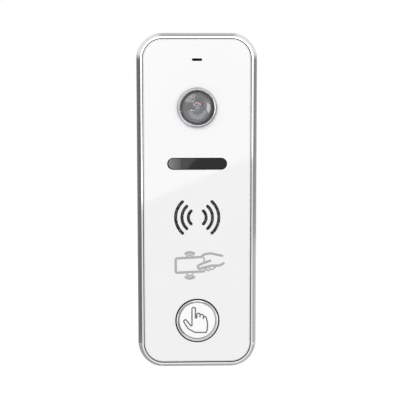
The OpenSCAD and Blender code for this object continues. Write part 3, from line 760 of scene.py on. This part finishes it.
class DOORBELL_OT_night_window(bpy.types.Operator):
    """Moulds the smoked infrared window"""

    bl_idname = "doorbell.night_window"
    bl_label = "Infrared Window"

    def execute(self, context):
        """Rings of a shrinking pill. The front's height is the window's front minus crown *
        x * x / 2, minus a fall that grows as x to the fourth towards the ends, plus tilt * y,
        so that it is a little crowned and leans down. The rings then go round the edge's
        bevel, down the side, out over the flange and to the back."""
        shape = context.scene.doorbell_window
        low, high = face_box("ir_window")
        centre = (low + high) / 2
        width, height, bevel = 20.8, 4.1, 0.2
        flange_z = low[2] + 0.8
        # The tilt lifts the upper edge, so the middle lies a little behind the CAD's front.
        front = high[2] - 0.06

        def lens(ring):
            fall = shape.crown * ring[:, 0] ** 2 / 2 + END_FALL * ring[:, 0] ** 4
            return front - fall + shape.tilt * ring[:, 1]

        front_rings = [
            pill_outline(width - 2 * inset, height - 2 * inset)
            for inset in (height / 2, 1.6, 1.1, 0.7, 0.4, 0.22)
        ]
        side = pill_outline(width, height)
        flange = pill_outline(high[0] - low[0], high[1] - low[1])
        # The back closes on a line.
        back = pill_outline(width - height, 0.0001)
        levels = [(ring, lens(ring)) for ring in front_rings]
        levels += [(side, lens(side) - bevel), (side, flange_z), (flange, flange_z)]
        levels += [(flange, low[2]), (back, low[2])]
        rings = np.array([
            np.column_stack([ring, np.broadcast_to(z, len(ring))]) for ring, z in levels
        ])
        rings[..., 1] += centre[1]
        points = rings.reshape(-1, 3)
        faces = grid_faces(len(rings), rings.shape[1]).tolist()
        # Moulded acrylic, dyed to pass infrared only: a dark, slightly uneven mirror.
        smoked = finish("smoked_acrylic", "#0A0A0C", 0.0, 0.04, ior=1.42, grain=2.0, bump=0.02,
                        mottle=0.1, shine=0.02)
        window = piece("night_window", (points, faces), smoked, "panel",
                       smooth=True, weld=2e-6)
        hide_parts("ir_window")
        return {"FINISHED"}


class DOORBELL_OT_camera_dome(bpy.types.Operator):
    """Moulds the camera's dome as one smooth lens"""

    bl_idname = "doorbell.camera_dome"
    bl_label = "Camera Dome"

    def execute(self, context):
        """An outside ball of radius R = (r * r + h * h) / 2h, with r the dome's radius and h
        its rise, and an inside ball of radius R - wall about the same centre, over a straight
        collar. A point at a distance d from the axis is at z = centre + sqrt(R * R - d * d)."""
        shape = context.scene.doorbell_dome
        low, high = face_box("camera_dome")
        centre = (low + high) / 2
        radius, rise, wall = (high[0] - low[0]) / 2, shape.rise / MM, shape.wall / MM
        ball = dome_ball(radius, rise)
        middle = high[2] - ball
        collar = radius - 1.0
        outside = np.linspace(0, radius, 40)
        inside = np.linspace(collar, 0, 34)
        over = middle + np.sqrt(ball**2 - outside**2)
        under = middle + np.sqrt((ball - wall) ** 2 - inside**2)
        profile = np.vstack([
            np.column_stack([outside, over]),
            [(radius, low[2]), (collar, low[2])],
            np.column_stack([inside, under]),
        ])
        # Moulded polycarbonate, hard coated: clear, a little hazy, with soft highlights.
        clear = clear_moulding("hard_coated_polycarbonate", "#F4F5F7", 1.58, veil=shape.veil)
        skin = turned(profile, centre[:2], steps=160, closed=False)
        dome = piece("clear_dome", skin, clear, "panel", smooth=True, weld=2e-7)
        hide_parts("camera_dome")
        return {"FINISHED"}


class DOORBELL_OT_hand_mark(bpy.types.Operator):
    """Prints the pointing hand on the call button"""

    bl_idname = "doorbell.hand_mark"
    bl_label = "Hand Mark"

    def execute(self, context):
        """The hand's outline is one line through corners (x, y, radius), and the middle
        finger's is another. Both are rounded, then printed as ribbons that reach a hair into
        the cap. The second lies a little higher, as overlapping ink does."""
        marks = context.scene.doorbell_marks
        palm = [
            (0.90, 1.38), (0.90, 2.72, 0.50), (-0.21, 2.72, 0.52), (-0.21, 0.97, 0.25),
            (-0.71, 0.97, 0.25), (-0.71, 4.82, 0.61), (-1.93, 4.82, 0.61), (-1.93, -2.27, 0.25),
            (-4.2, 0.56, 0.28), (-4.98, -0.1, 0.3), (-3.3, -2.82, 1.2), (-0.85, -4.21, 1.5),
            (3.11, -4.21, 0.25), (3.55, -2.82, 0.3), (3.55, -0.70, 0.8), (2.98, 1.50, 0.35),
            (2.35, 1.50, 0.3), (2.04, 0.76),
        ]
        middle_finger = [(2.04, 0.76), (2.2, 1.75, 0.3), (1.55, 2.42, 0.45), (0.95, 2.05)]
        width, height = marks.hand_stroke / MM, marks.ink_height / MM + INK_ROOT
        lines = [
            stroke(filleted(line), width, (0, BUTTON_Y), CAP_FRONT - INK_ROOT, height + lift)
            for line, lift in ((palm, 0), (middle_finger, INK_LAYER))
        ]
        ink = printed_ink("grey_button_ink", tuple(marks.hand_ink))
        piece("hand_mark", joined(lines), ink, "button")
        return {"FINISHED"}


class DOORBELL_OT_card_mark(bpy.types.Operator):
    """Prints the hand holding a card and its radio waves over the reader's coil"""

    bl_idname = "doorbell.card_mark"
    bl_label = "Card Mark"

    def execute(self, context):
        """The card, the hand and its fingers are lines through corners (x, y, radius), thick
        outside and thin between the fingers. Each radio wave is an arc over a half width,
        whose radius is (half * half + drop * drop) / (2 * drop), and it is drawn above the
        card and again below it."""
        marks = context.scene.doorbell_marks
        centre = (0, -22)
        thick = marks.card_stroke / MM
        thin = thick * 0.6
        lines = [
            ([(2.3, -2.2), (-7.6, -2.66, 0.6), (-7.6, 2.45, 0.6), (1.3, 2.9)], thick),
            ([(1.3, 2.9), (2.2, 3.75, 1.2), (4.4, 4.25, 4), (8.75, 3.3)], thick),
            ([(1.95, 3.0), (2.5, 2.2, 0.5), (2.4, 1.2)], thin),
            (
                [(4.52, 1.58), (2.0, 0.7, 3), (0.0, -0.3, 0.45), (0.65, -1.4, 0.42),
                 (2.5, -0.75, 2), (5, -0.2, 3), (7.9, -0.15, 1), (9.25, 0.62)],
                thick,
            ),
            ([(2.3, -2.2), (2.8, -1.65, 0.3), (2.4, -1.1)], thin),
            ([(3.03, -0.81), (3.44, -1.90, 0.3), (4.11, -1.97, 0.3), (4.38, -1.36, 0.3),
              (4.11, -0.81)], thin),
            ([(4.65, -1.36), (5.05, -1.63, 0.3), (5.6, -1.29, 0.4), (6.4, -0.67)], thin),
        ]
        z, height = PLATE_FRONT - INK_ROOT, marks.ink_height / MM + INK_ROOT
        shapes = [
            stroke(filleted(line), width, centre, z, height + INK_LAYER * i)
            for i, (line, width) in enumerate(lines)
        ]
        wave_x = -2.64
        wave = marks.wave_stroke / MM
        for top, half, drop in ((4.79, 1.69, 0.62), (4.31, 1.35, 0.6), (3.6, 1.01, 0.59)):
            radius = dome_ball(half, drop)
            reach = math.asin(half / radius)
            angle = np.linspace(-reach, reach, 25)
            x = wave_x + radius * np.sin(angle)
            y = top - radius + radius * np.cos(angle)
            height += INK_LAYER
            for line in ((x, y), (x, -y - 0.1)):
                shapes.append(stroke(np.column_stack(line), wave, centre, z, height))
        ink = printed_ink("pale_face_ink", tuple(marks.card_ink))
        piece("card_mark", joined(shapes), ink, "panel")
        return {"FINISHED"}


def finishes(colours):
    """The finish of each material slot. Every comment says what the real one is and what
    that gives the eye. Grains that are really 0.02 to 0.1 mm, such as drawing, plating and
    spark marks, are drawn at 0.15 to 0.4 mm so that they show."""
    return {
        "frame_metal": plated_die_casting(colours.metal),
        "face_acrylic": back_painted_acrylic(colours.face),
        "trim_chrome": turned_ring(),
        # Moulded polycarbonate: clear, with a faint grey.
        "clear_dome": clear_moulding("clear_polycarbonate", "#F4F5F7", 1.58),
        # Optical glass with a violet-green anti-reflection coating.
        "lens_glass": clear_moulding("coated_glass", "#E9ECEF", 1.6, coat="#8F86C8"),
        # Moulded acrylic dyed nearly black: glossy, with nothing seen behind it.
        "smoked_window": finish("smoked_plastic", "#141416", 0.0, 0.05, ior=1.6),
        # Glass-filled nylon, fine spark texture: a soft grey sheen on near black.
        "black_plastic": finish("black_moulding", "#3A3A3C", 0.0, 0.42, ior=1.53, bump=0.2,
                                mottle=0.12),
        # Silicone: dull, a little dusty.
        "black_rubber": finish("silicone_rubber", "#2B2B2C", 0.0, 0.62, ior=1.41, grain=0.5,
                               bump=0.12, mottle=0.15, edge="#3A3A3A"),
        # ABS with a spark-eroded texture of 0.35 mm, which breaks up its shine.
        "cover_plastic": finish("spark_textured_abs", colours.cover, 0.0, 0.52, ior=1.53,
                                grain=0.35, bump=0.45, depth=0.04, mottle=0.1),
        # Zinc plate on pressed steel: pale blue-grey, with soft cloudy spangle.
        "zinc_steel": finish("zinc_plated_steel", "#C3C7CC", 1.0, 0.34, grain=1.6, bump=0.06,
                             depth=0.01, mottle=0.1, shine=0.12, edge="#CACDD1"),
        # Bright zinc on a cold-headed screw: shiny, with faint marks of the die.
        "screw_steel": finish("bright_zinc_screw", "#D2D4D6", 1.0, 0.24, grain=0.25, bump=0.08,
                              mottle=0.08, shine=0.12),
        # Die-cut acrylic foam: matt, with fine open cells along its edge.
        "adhesive": finish("foam_tape", "#3A3A3B", 0.0, 0.8, ior=1.46, grain=0.2, bump=0.3,
                           mottle=0.2),
        # Green solder mask over glass fibre: the weave of 0.6 mm prints through.
        "board_laminate": finish("green_solder_mask", colours.board, 0.0, 0.28, ior=1.55,
                                 grain=0.6, bump=0.12, mottle=0.18),
        # Transfer-moulded epoxy: dark, matt and finely pitted by its silica.
        "chip_epoxy": finish("moulded_epoxy", "#2A2A2B", 0.0, 0.5, ior=1.55, grain=0.15,
                             bump=0.2, mottle=0.15),
        # Enamelled copper wire of 0.2 mm, wound flat: the turns break up its warm shine.
        "copper_wire": finish("enamelled_copper", "#C4713B", 1.0, 0.3, grain=0.2, bump=0.3,
                              mottle=0.3),
        # Extruded vinyl insulation: an even satin.
        "lead_red": finish("red_insulation", "#A82A22", 0.0, 0.4, ior=1.52, mottle=0.08),
        "lead_white": finish("white_insulation", "#D9D9D5", 0.0, 0.4, ior=1.52, mottle=0.05),
        # Pressed and fired ferrite: dark grey and chalky, with visible grains.
        "ferrite": finish("sintered_ferrite", "#4A4A4D", 0.0, 0.6, ior=2.0, bump=0.3,
                          mottle=0.2),
        # Pressed steel, nickel plated: shiny, with a faint yellow.
        "plated_steel": finish("nickel_plated_steel", "#B9B8B2", 1.0, 0.26, grain=0.4,
                               bump=0.05, mottle=0.08, shine=0.14),
        # Etched steel sheet, blackened: a dark satin.
        "mesh_steel": finish("blackened_steel", "#5B5C5F", 1.0, 0.38, grain=0.2, mottle=0.1),
        # Polyester film, formed hot: smooth and half glossy.
        "cone_film": finish("pressed_film", "#2C2C2E", 0.0, 0.35, ior=1.57, grain=0.8,
                            mottle=0.1),
        # Polished white ABS: glossy, with a very slight orange peel of 1.2 mm.
        "cap_plastic": finish("polished_white_abs", colours.cap, 0.0, 0.08, ior=1.53,
                              grain=1.2, bump=0.02, mottle=0.01, shine=0.03),
        # Unfilled nylon: creamy, and light sinks into it a little.
        "nylon": finish("natural_nylon", "#E3DFD2", 0.0, 0.4, ior=1.53, grain=0.4, bump=0.12,
                        mottle=0.06,
                        extra={"Subsurface Weight": 0.1, "Subsurface Radius": (0.001,) * 3}),
        # Thin gold plate over nickel: pale, warm and bright.
        "gold_pin": finish("gold_flash", "#E3C67C", 1.0, 0.2, bump=0.04, mottle=0.08),
        # Cold-drawn wire: bright, with faint drawing marks.
        "spring_steel": finish("spring_wire", "#B9BABD", 1.0, 0.25, mottle=0.08),
        # Coloured nylon mouldings: an even satin.
        "switch_red": finish("red_moulding", "#B83630", 0.0, 0.4, ior=1.5, mottle=0.06),
        "trimmer_blue": finish("blue_moulding", "#2C5694", 0.0, 0.4, ior=1.5, mottle=0.08),
        # Cast clear epoxy: not quite as clean as glass.
        "led_lens": clear_moulding("clear_epoxy", "#EEF0F2", 1.52, roughness=0.05),
        # Dipped and moulded epoxy, dyed yellow: satin.
        "tantalum": finish("yellow_epoxy", "#D9A64A", 0.0, 0.42, ior=1.55, mottle=0.1),
        # Laminated film ribbon: smooth, pale, with a soft gloss.
        "flat_lead": finish("polyester_ribbon", "#DCDCD6", 0.0, 0.35, ior=1.6, grain=0.5,
                            mottle=0.06),
    }


class DOORBELL_OT_finishes(bpy.types.Operator):
    """Gives every CAD node the finish of its material slot"""

    bl_idname = "doorbell.finishes"
    bl_label = "Finishes"

    def execute(self, context):
        """Two nodes differ from their slots: the microphone's can, nickel plated with black
        felt on its front, and the dome's gasket, whose grey silicone shows at its edge."""
        made = finishes(context.scene.doorbell_finish)
        slots = {p["node"]: p["material_slot"] for p in frame["record"]["subparts"]}
        felt = 0.1 * MM - face_box("mic_capsule")[1][2] * MM
        made["mic_felt"] = two_part("felt_front_can", "#B9B8B2", "#1A1A1A", felt, metallic=1.0)
        made["grey_silicone"] = finish("grey_silicone", "#8B8A8E", 0.0, 0.6, ior=1.41,
                                       grain=0.5, mottle=0.08)
        slots |= {"mic_capsule": "mic_felt", "dome_gasket": "grey_silicone"}
        for name, node in frame["nodes"].items():
            if slots.get(name) not in made:
                raise RuntimeError(f"no finish for node {name}")
            for place in node.material_slots:
                place.material = made[slots[name]]
        return {"FINISHED"}


# ------------------------------------------------------------------ studio


def fan(first, second, steps):
    """Two grids in radians over two ranges in degrees: the first varies along the columns
    and the second along the rows."""
    return np.meshgrid(*(np.radians(np.linspace(*ends, steps)) for ends in (first, second)))


def round_upright(azimuths, elevations, steps=12):
    """Directions (steps, steps, 3) over azimuths about the upright axis, from the face's
    axis to the right, and elevations upwards, in degrees."""
    a, e = fan(azimuths, elevations, steps)
    return np.stack([np.sin(a) * np.cos(e), -np.cos(a) * np.cos(e), np.sin(e)], axis=-1)


def round_level(sides, tilts, steps=12):
    """Directions over turns to the right and tilts about the level axis, from the face's
    axis upwards and over to the back, in degrees."""
    w, t = fan(sides, tilts, steps)
    return np.stack([np.sin(w), -np.cos(w) * np.cos(t), np.cos(w) * np.sin(t)], axis=-1)


def round_face(clocks, tilts, steps=24):
    """Directions over clock angles from the right, anticlockwise, and tilts away from the
    face's axis, in degrees."""
    c, t = fan(clocks, tilts, steps)
    return np.stack([np.sin(t) * np.cos(c), -np.cos(t), np.sin(t) * np.sin(c)], axis=-1)


def mirrored(sight, normal):
    """The directions of lines of sight after a mirror: d - 2 (d . n) n."""
    sight = sight / np.linalg.norm(sight, axis=-1, keepdims=True)
    return sight - 2 * (sight * normal).sum(-1, keepdims=True) * normal


def card(name, points, levels, tint="#FFFFFF"):
    """A reflector or flag, seen in reflections only, over a grid of points (rows, columns, 3)
    in row-frame millimetres. Its glow runs between the levels of its four corners: the first
    row's ends, then the last row's ends."""
    rows, columns = points.shape[:2]
    r, c = np.meshgrid(np.arange(rows - 1), np.arange(columns - 1), indexing="ij")
    corner = r * columns + c
    quads = np.stack([corner, corner + 1, corner + columns + 1, corner + columns], -1)
    (low_start, low_end), (high_start, high_end) = levels
    across, along = np.linspace(0, 1, columns)[None], np.linspace(0, 1, rows)[:, None]
    glow = (low_start * (1 - across) + low_end * across) * (1 - along)
    glow = glow + (high_start * (1 - across) + high_end * across) * along
    mesh = bpy.data.meshes.new(name)
    mesh.from_pydata((points.reshape(-1, 3) * MM).tolist(), [], quads.reshape(-1, 4).tolist())
    mesh.attributes.new("level", "FLOAT", "POINT").data.foreach_set("value", glow.ravel())
    material, tree = blank(name)
    level = add(tree, "ShaderNodeAttribute", attribute_name="level").outputs["Fac"]
    shader = add(tree, "ShaderNodeEmission", {"Color": shade(tint), "Strength": level})
    add(tree, "ShaderNodeOutputMaterial", {"Surface": shader})
    mesh.materials.append(material)
    built = bpy.data.objects.new(name, mesh)
    bpy.context.scene.collection.objects.link(built)
    for ray in ("camera", "diffuse", "shadow", "transmission", "volume_scatter"):
        setattr(built, f"visible_{ray}", False)


def lamp(name, place, size, power):
    """A soft square lamp at a place in metres, aimed at the face's centre."""
    light = bpy.data.lights.new(name, "AREA")
    light.size = size
    light.energy = power
    built = bpy.data.objects.new(name, light)
    bpy.context.scene.collection.objects.link(built)
    built.location = place
    built.rotation_euler = (-Vector(place)).to_track_quat("-Z", "Y").to_euler()
    built.visible_glossy = False


def seen_ray(tree):
    """1 for a ray from the camera or one that a mirror or clear material passes on, and 0
    for a ray that lights a surface: the sum of the three kinds, at most 1."""
    path = add(tree, "ShaderNodeLightPath").outputs
    direct = add(
        tree, "ShaderNodeMath", {0: path["Is Camera Ray"], 1: path["Is Glossy Ray"]},
        operation="ADD",
    )
    return add(
        tree, "ShaderNodeMath", {0: direct, 1: path["Is Transmission Ray"]},
        operation="ADD", use_clamp=True,
    )


class DOORBELL_OT_studio(bpy.types.Operator):
    """Sets up the floor, the soft lights, the reflectors and the camera"""

    bl_idname = "doorbell.studio"
    bl_label = "Studio"

    def execute(self, context):
        """The lamps light the panel evenly and aren't mirrored in it. What it mirrors is the
        white world and the cards."""
        scene = context.scene
        stage = scene.doorbell_studio
        scene.view_settings.view_transform = "Standard"
        self.world(scene, stage.ambient)
        self.floor()
        eye = self.camera(scene, stage)
        for name, place, size, power in (
            ("key_lamp", (-0.45, -0.95, 0.75), 0.7, stage.key),
            ("fill_lamp", (0.85, -0.75, 0.15), 0.9, stage.fill),
            ("back_lamp", (0.5, 0.95, 0.6), 0.9, stage.fill),
            ("side_lamp", (-1.0, 0.4, 0.2), 0.9, stage.fill),
        ):
            lamp(name, place, size, power)
        self.gloss_cards(eye)
        self.flags()
        self.dome_cards(eye, scene.doorbell_dome.rise / MM)
        return {"FINISHED"}

    def world(self, scene, ambient):
        """White to the camera and in reflections, a plainer level as light on surfaces."""
        scene.world = bpy.data.worlds.new("studio_white")
        scene.world.use_nodes = True
        tree = scene.world.node_tree
        tree.nodes.clear()
        level = add(
            tree, "ShaderNodeMapRange", {"Value": seen_ray(tree), "To Min": ambient, "To Max": 1.0}
        )
        light = add(tree, "ShaderNodeBackground", {"Color": (1, 1, 1, 1), "Strength": level})
        add(tree, "ShaderNodeOutputWorld", {"Surface": light})

    def floor(self):
        """A pale floor below the panel. It takes the panel's shadow, and a little glow seen
        by the camera and in reflections brings it up to white."""
        size, drop, lift = 6.0, -0.95, 0.42
        corners = [(x * size, y * size, drop) for x, y in ((-1, -1), (1, -1), (1, 1), (-1, 1))]
        mesh = bpy.data.meshes.new("floor")
        mesh.from_pydata(corners, [], [(0, 1, 2, 3)])
        material, tree = blank("pale_floor")
        level = add(tree, "ShaderNodeMath", {0: seen_ray(tree), 1: lift}, operation="MULTIPLY")
        paint = add(tree, "ShaderNodeBsdfDiffuse", {"Color": shade("#EDEDED")})
        glow = add(tree, "ShaderNodeEmission", {"Color": (1, 1, 1, 1), "Strength": level})
        both = add(tree, "ShaderNodeAddShader", {0: paint, 1: glow})
        add(tree, "ShaderNodeOutputMaterial", {"Surface": both})
        mesh.materials.append(material)
        built = bpy.data.objects.new("floor", mesh)
        bpy.context.scene.collection.objects.link(built)

    def camera(self, scene, stage):
        """The camera looks at the middle of the frame's front from the azimuth, elevation and
        distance, and then turns about its line of sight by the roll. Returns its place in
        millimetres."""
        target = Vector((0, -RIM_FRONT * MM, 0))
        turn, rise = stage.azimuth, stage.elevation
        back = Vector((
            math.sin(turn) * math.cos(rise), -math.cos(turn) * math.cos(rise), math.sin(rise)
        ))
        right = (-back).cross(Vector((0, 0, 1))).normalized()
        up = right.cross(-back)
        cosine, sine = math.cos(stage.roll), math.sin(stage.roll)
        right, up = cosine * right + sine * up, cosine * up - sine * right
        data = bpy.data.cameras.new("camera")
        data.lens = stage.lens
        data.sensor_width = 36
        data.shift_x, data.shift_y = stage.shift_x, stage.shift_y
        data.clip_start = 0.01
        built = bpy.data.objects.new("camera", data)
        scene.collection.objects.link(built)
        eye = target + back * stage.distance
        turned_axes = Matrix((right, up, back)).transposed().to_4x4()
        built.matrix_world = Matrix.Translation(eye) @ turned_axes
        scene.camera = built
        return np.array(eye) / MM

    def gloss_cards(self, eye):
        """Two flat reflectors that the face mirrors. A flat face mirrors, through its point
        P, the point P + reach (P - eye) in front of it. The gloss card's lower edge is seen
        as a slanting line across the face, between two of its points. The window card is
        seen at the left end of the infrared window."""
        reach = 1.5
        depth = -PLATE_FRONT - reach * (-eye[1] - PLATE_FRONT)
        (x0, z0), (x1, z1) = [
            (x + reach * (x - eye[0]), z + reach * (z - eye[2]))
            for x, z in ((-17.9, 0.1), (18.1, 16.0))
        ]
        slope = (z1 - z0) / (x1 - x0)
        left, right, top = -35.0, 78.0, 118.0
        far, low, high = left - 130, -39, -23
        for name, corners, levels in (
            ("gloss_card",
             ((left, z0 + slope * (left - x0)), (right, z0 + slope * (right - x0)),
              (left, top), (right, top)), ((2.5, 2.5), (2.7, 2.5))),
            ("window_card", ((far, low), (left, low), (far, high), (left, high)),
             ((10.1, 4.0), (10.1, 4.0))),
        ):
            points = np.array([(x, depth, z) for x, z in corners], float)
            card(name, points.reshape(2, 2, 3), levels)

    def flags(self):
        """Grey flags on balls round the frame's front, each a millimetre further out than
        the one before. They give its rounded front and sides their bands."""
        middle, nearest = np.array([0, -RIM_FRONT, 0]), 500
        side, up, down, left = (84, 168), (9.5, 18), (-20.5, -8.7), (-84, -168)
        flags = (
            ("left_flag", round_upright(left, (-20.5, 9.5)), ((0.16, 0.28), (0.15, 0.26))),
            ("left_fade", round_upright(left, up), ((0.15, 0.26), (0.95, 0.95))),
            ("right_flag", round_upright(side, (-8.7, 9.5)), ((0.36, 0.48), (0.27, 0.38))),
            ("right_fade", round_upright(side, up), ((0.27, 0.38), (0.95, 0.95))),
            ("right_low_flag", round_upright(side, down), ((0.55, 0.75), (0.55, 0.75))),
            ("top_flag", round_level((-4, 8), side), ((0.48, 0.48), (0.85, 0.85))),
            ("top_left_fade", round_level((-12, -4), side), ((1.0, 0.48), (1.0, 0.85))),
            ("top_right_fade", round_level((8, 16), side), ((0.48, 1.0), (0.85, 1.0))),
            ("bottom_flag", round_level((-5, 9), left), ((0.5, 0.5), (0.55, 0.55))),
            ("low_left_flag", round_face((202, 264), side), ((0.4, 0.4), (0.55, 0.55))),
            ("low_right_flag", round_face((276, 336), side), ((0.55, 0.55), (0.75, 0.75))),
            # These two are mirrored by the top left of the button ring's inner slope.
            ("ring_flag", round_face((-110, 25), (48, 80)), ((0.4, 0.3), (0.4, 0.3))),
            ("sill_flag", round_face((-125, -15), (79, 91)), ((0.35, 0.3), (0.35, 0.3))),
        )
        for i, (name, directions, levels) in enumerate(flags):
            card(name, middle + (nearest + i) * directions, levels)

    def dome_cards(self, eye, rise):
        """Reflectors seen as highlights in the dome. Each is first drawn on the dome's front,
        as x to the right and z up from its middle, and then carried out along the mirrored
        lines of sight: an upright strip at the right, a crescent below, and a bow above."""
        low, high = face_box("camera_dome")
        ball = dome_ball((high[0] - low[0]) / 2, rise)
        middle = np.array([(low[0] + high[0]) / 2, ball - high[2], (low[1] + high[1]) / 2])
        turn = np.linspace(0, 2 * math.pi, 40)
        size = np.linspace(0.01, 1, 6)[:, None]
        strip = (3.87 + 0.66 * size * np.cos(turn), 0.1 + 1.6 * size * np.sin(turn))
        clock = np.radians(np.linspace(-165, -15, 40))
        horns = ((clock + math.pi / 2) / math.radians(75)) ** 2
        reach = 2.35 + (1.7 - 0.9 * horns) * np.linspace(0, 1, 8)[:, None]
        crescent = (reach * np.cos(clock), reach * np.sin(clock))
        bow = np.radians(np.linspace(22, 158, 24))
        width = 1.1 + 0.4 * np.linspace(0, 1, 4)[:, None]
        arc = (width * np.cos(bow), 0.35 + width * np.sin(bow))
        for name, (x, z), far, level, tint in (
            ("dome_strip", strip, 250, 4.8, "#FFFFFF"),
            ("dome_low", crescent, 1150, 3.1, "#E4EAF0"),
            ("dome_arc", arc, 440, 6.5, "#FFC8D4"),
        ):
            normal = np.stack([x, -np.sqrt(ball**2 - x**2 - z**2), z], axis=-1) / ball
            point = middle + ball * normal
            card(name, point + far * mirrored(point - eye, normal), ((level,) * 2,) * 2, tint)


class DOORBELL_PT_panel(bpy.types.Panel):
    """Buttons and settings of the doorbell"""

    bl_idname = "DOORBELL_PT_panel"
    bl_label = "Doorbell"
    bl_space_type = "VIEW_3D"
    bl_region_type = "UI"
    bl_category = "Doorbell"

    def draw(self, context):
        for operator in OPERATORS:
            self.layout.operator(operator.bl_idname)
        for attribute, group in GROUPS.items():
            settings = getattr(context.scene, attribute)
            box = self.layout.box()
            box.label(text=attribute.replace("doorbell_", "").replace("_", " ").title())
            for name in group.__annotations__:
                box.prop(settings, name)


GROUPS = {
    "doorbell_speaker_cloth": DoorbellSpeakerCloth,
    "doorbell_spring": DoorbellSpring,
    "doorbell_window": DoorbellWindow,
    "doorbell_dome": DoorbellDome,
    "doorbell_marks": DoorbellMarks,
    "doorbell_finish": DoorbellFinish,
    "doorbell_studio": DoorbellStudio,
}
OPERATORS = (
    DOORBELL_OT_finishes,
    DOORBELL_OT_speaker_cloth,
    DOORBELL_OT_button_spring,
    DOORBELL_OT_night_window,
    DOORBELL_OT_camera_dome,
    DOORBELL_OT_hand_mark,
    DOORBELL_OT_card_mark,
    DOORBELL_OT_studio,
)


def register():
    """Makes the settings, the operators and the panel known, and hangs the settings on the
    scene."""
    for cls in (*GROUPS.values(), *OPERATORS, DOORBELL_PT_panel):
        bpy.utils.register_class(cls)
    for attribute, group in GROUPS.items():
        setattr(bpy.types.Scene, attribute, bpy.props.PointerProperty(type=group))


def unregister():
    """Takes back what register did."""
    for attribute in GROUPS:
        delattr(bpy.types.Scene, attribute)
    for cls in reversed((*GROUPS.values(), *OPERATORS, DOORBELL_PT_panel)):
        bpy.utils.unregister_class(cls)


def main():
    """Builds the model: the finishes, the fine pieces and the studio."""
    register()
    bpy.ops.doorbell.finishes()
    bpy.ops.doorbell.speaker_cloth()
    bpy.ops.doorbell.button_spring()
    bpy.ops.doorbell.night_window()
    bpy.ops.doorbell.camera_dome()
    bpy.ops.doorbell.hand_mark()
    bpy.ops.doorbell.card_mark()
    bpy.ops.doorbell.studio()


if __name__ == "__main__":
    main()
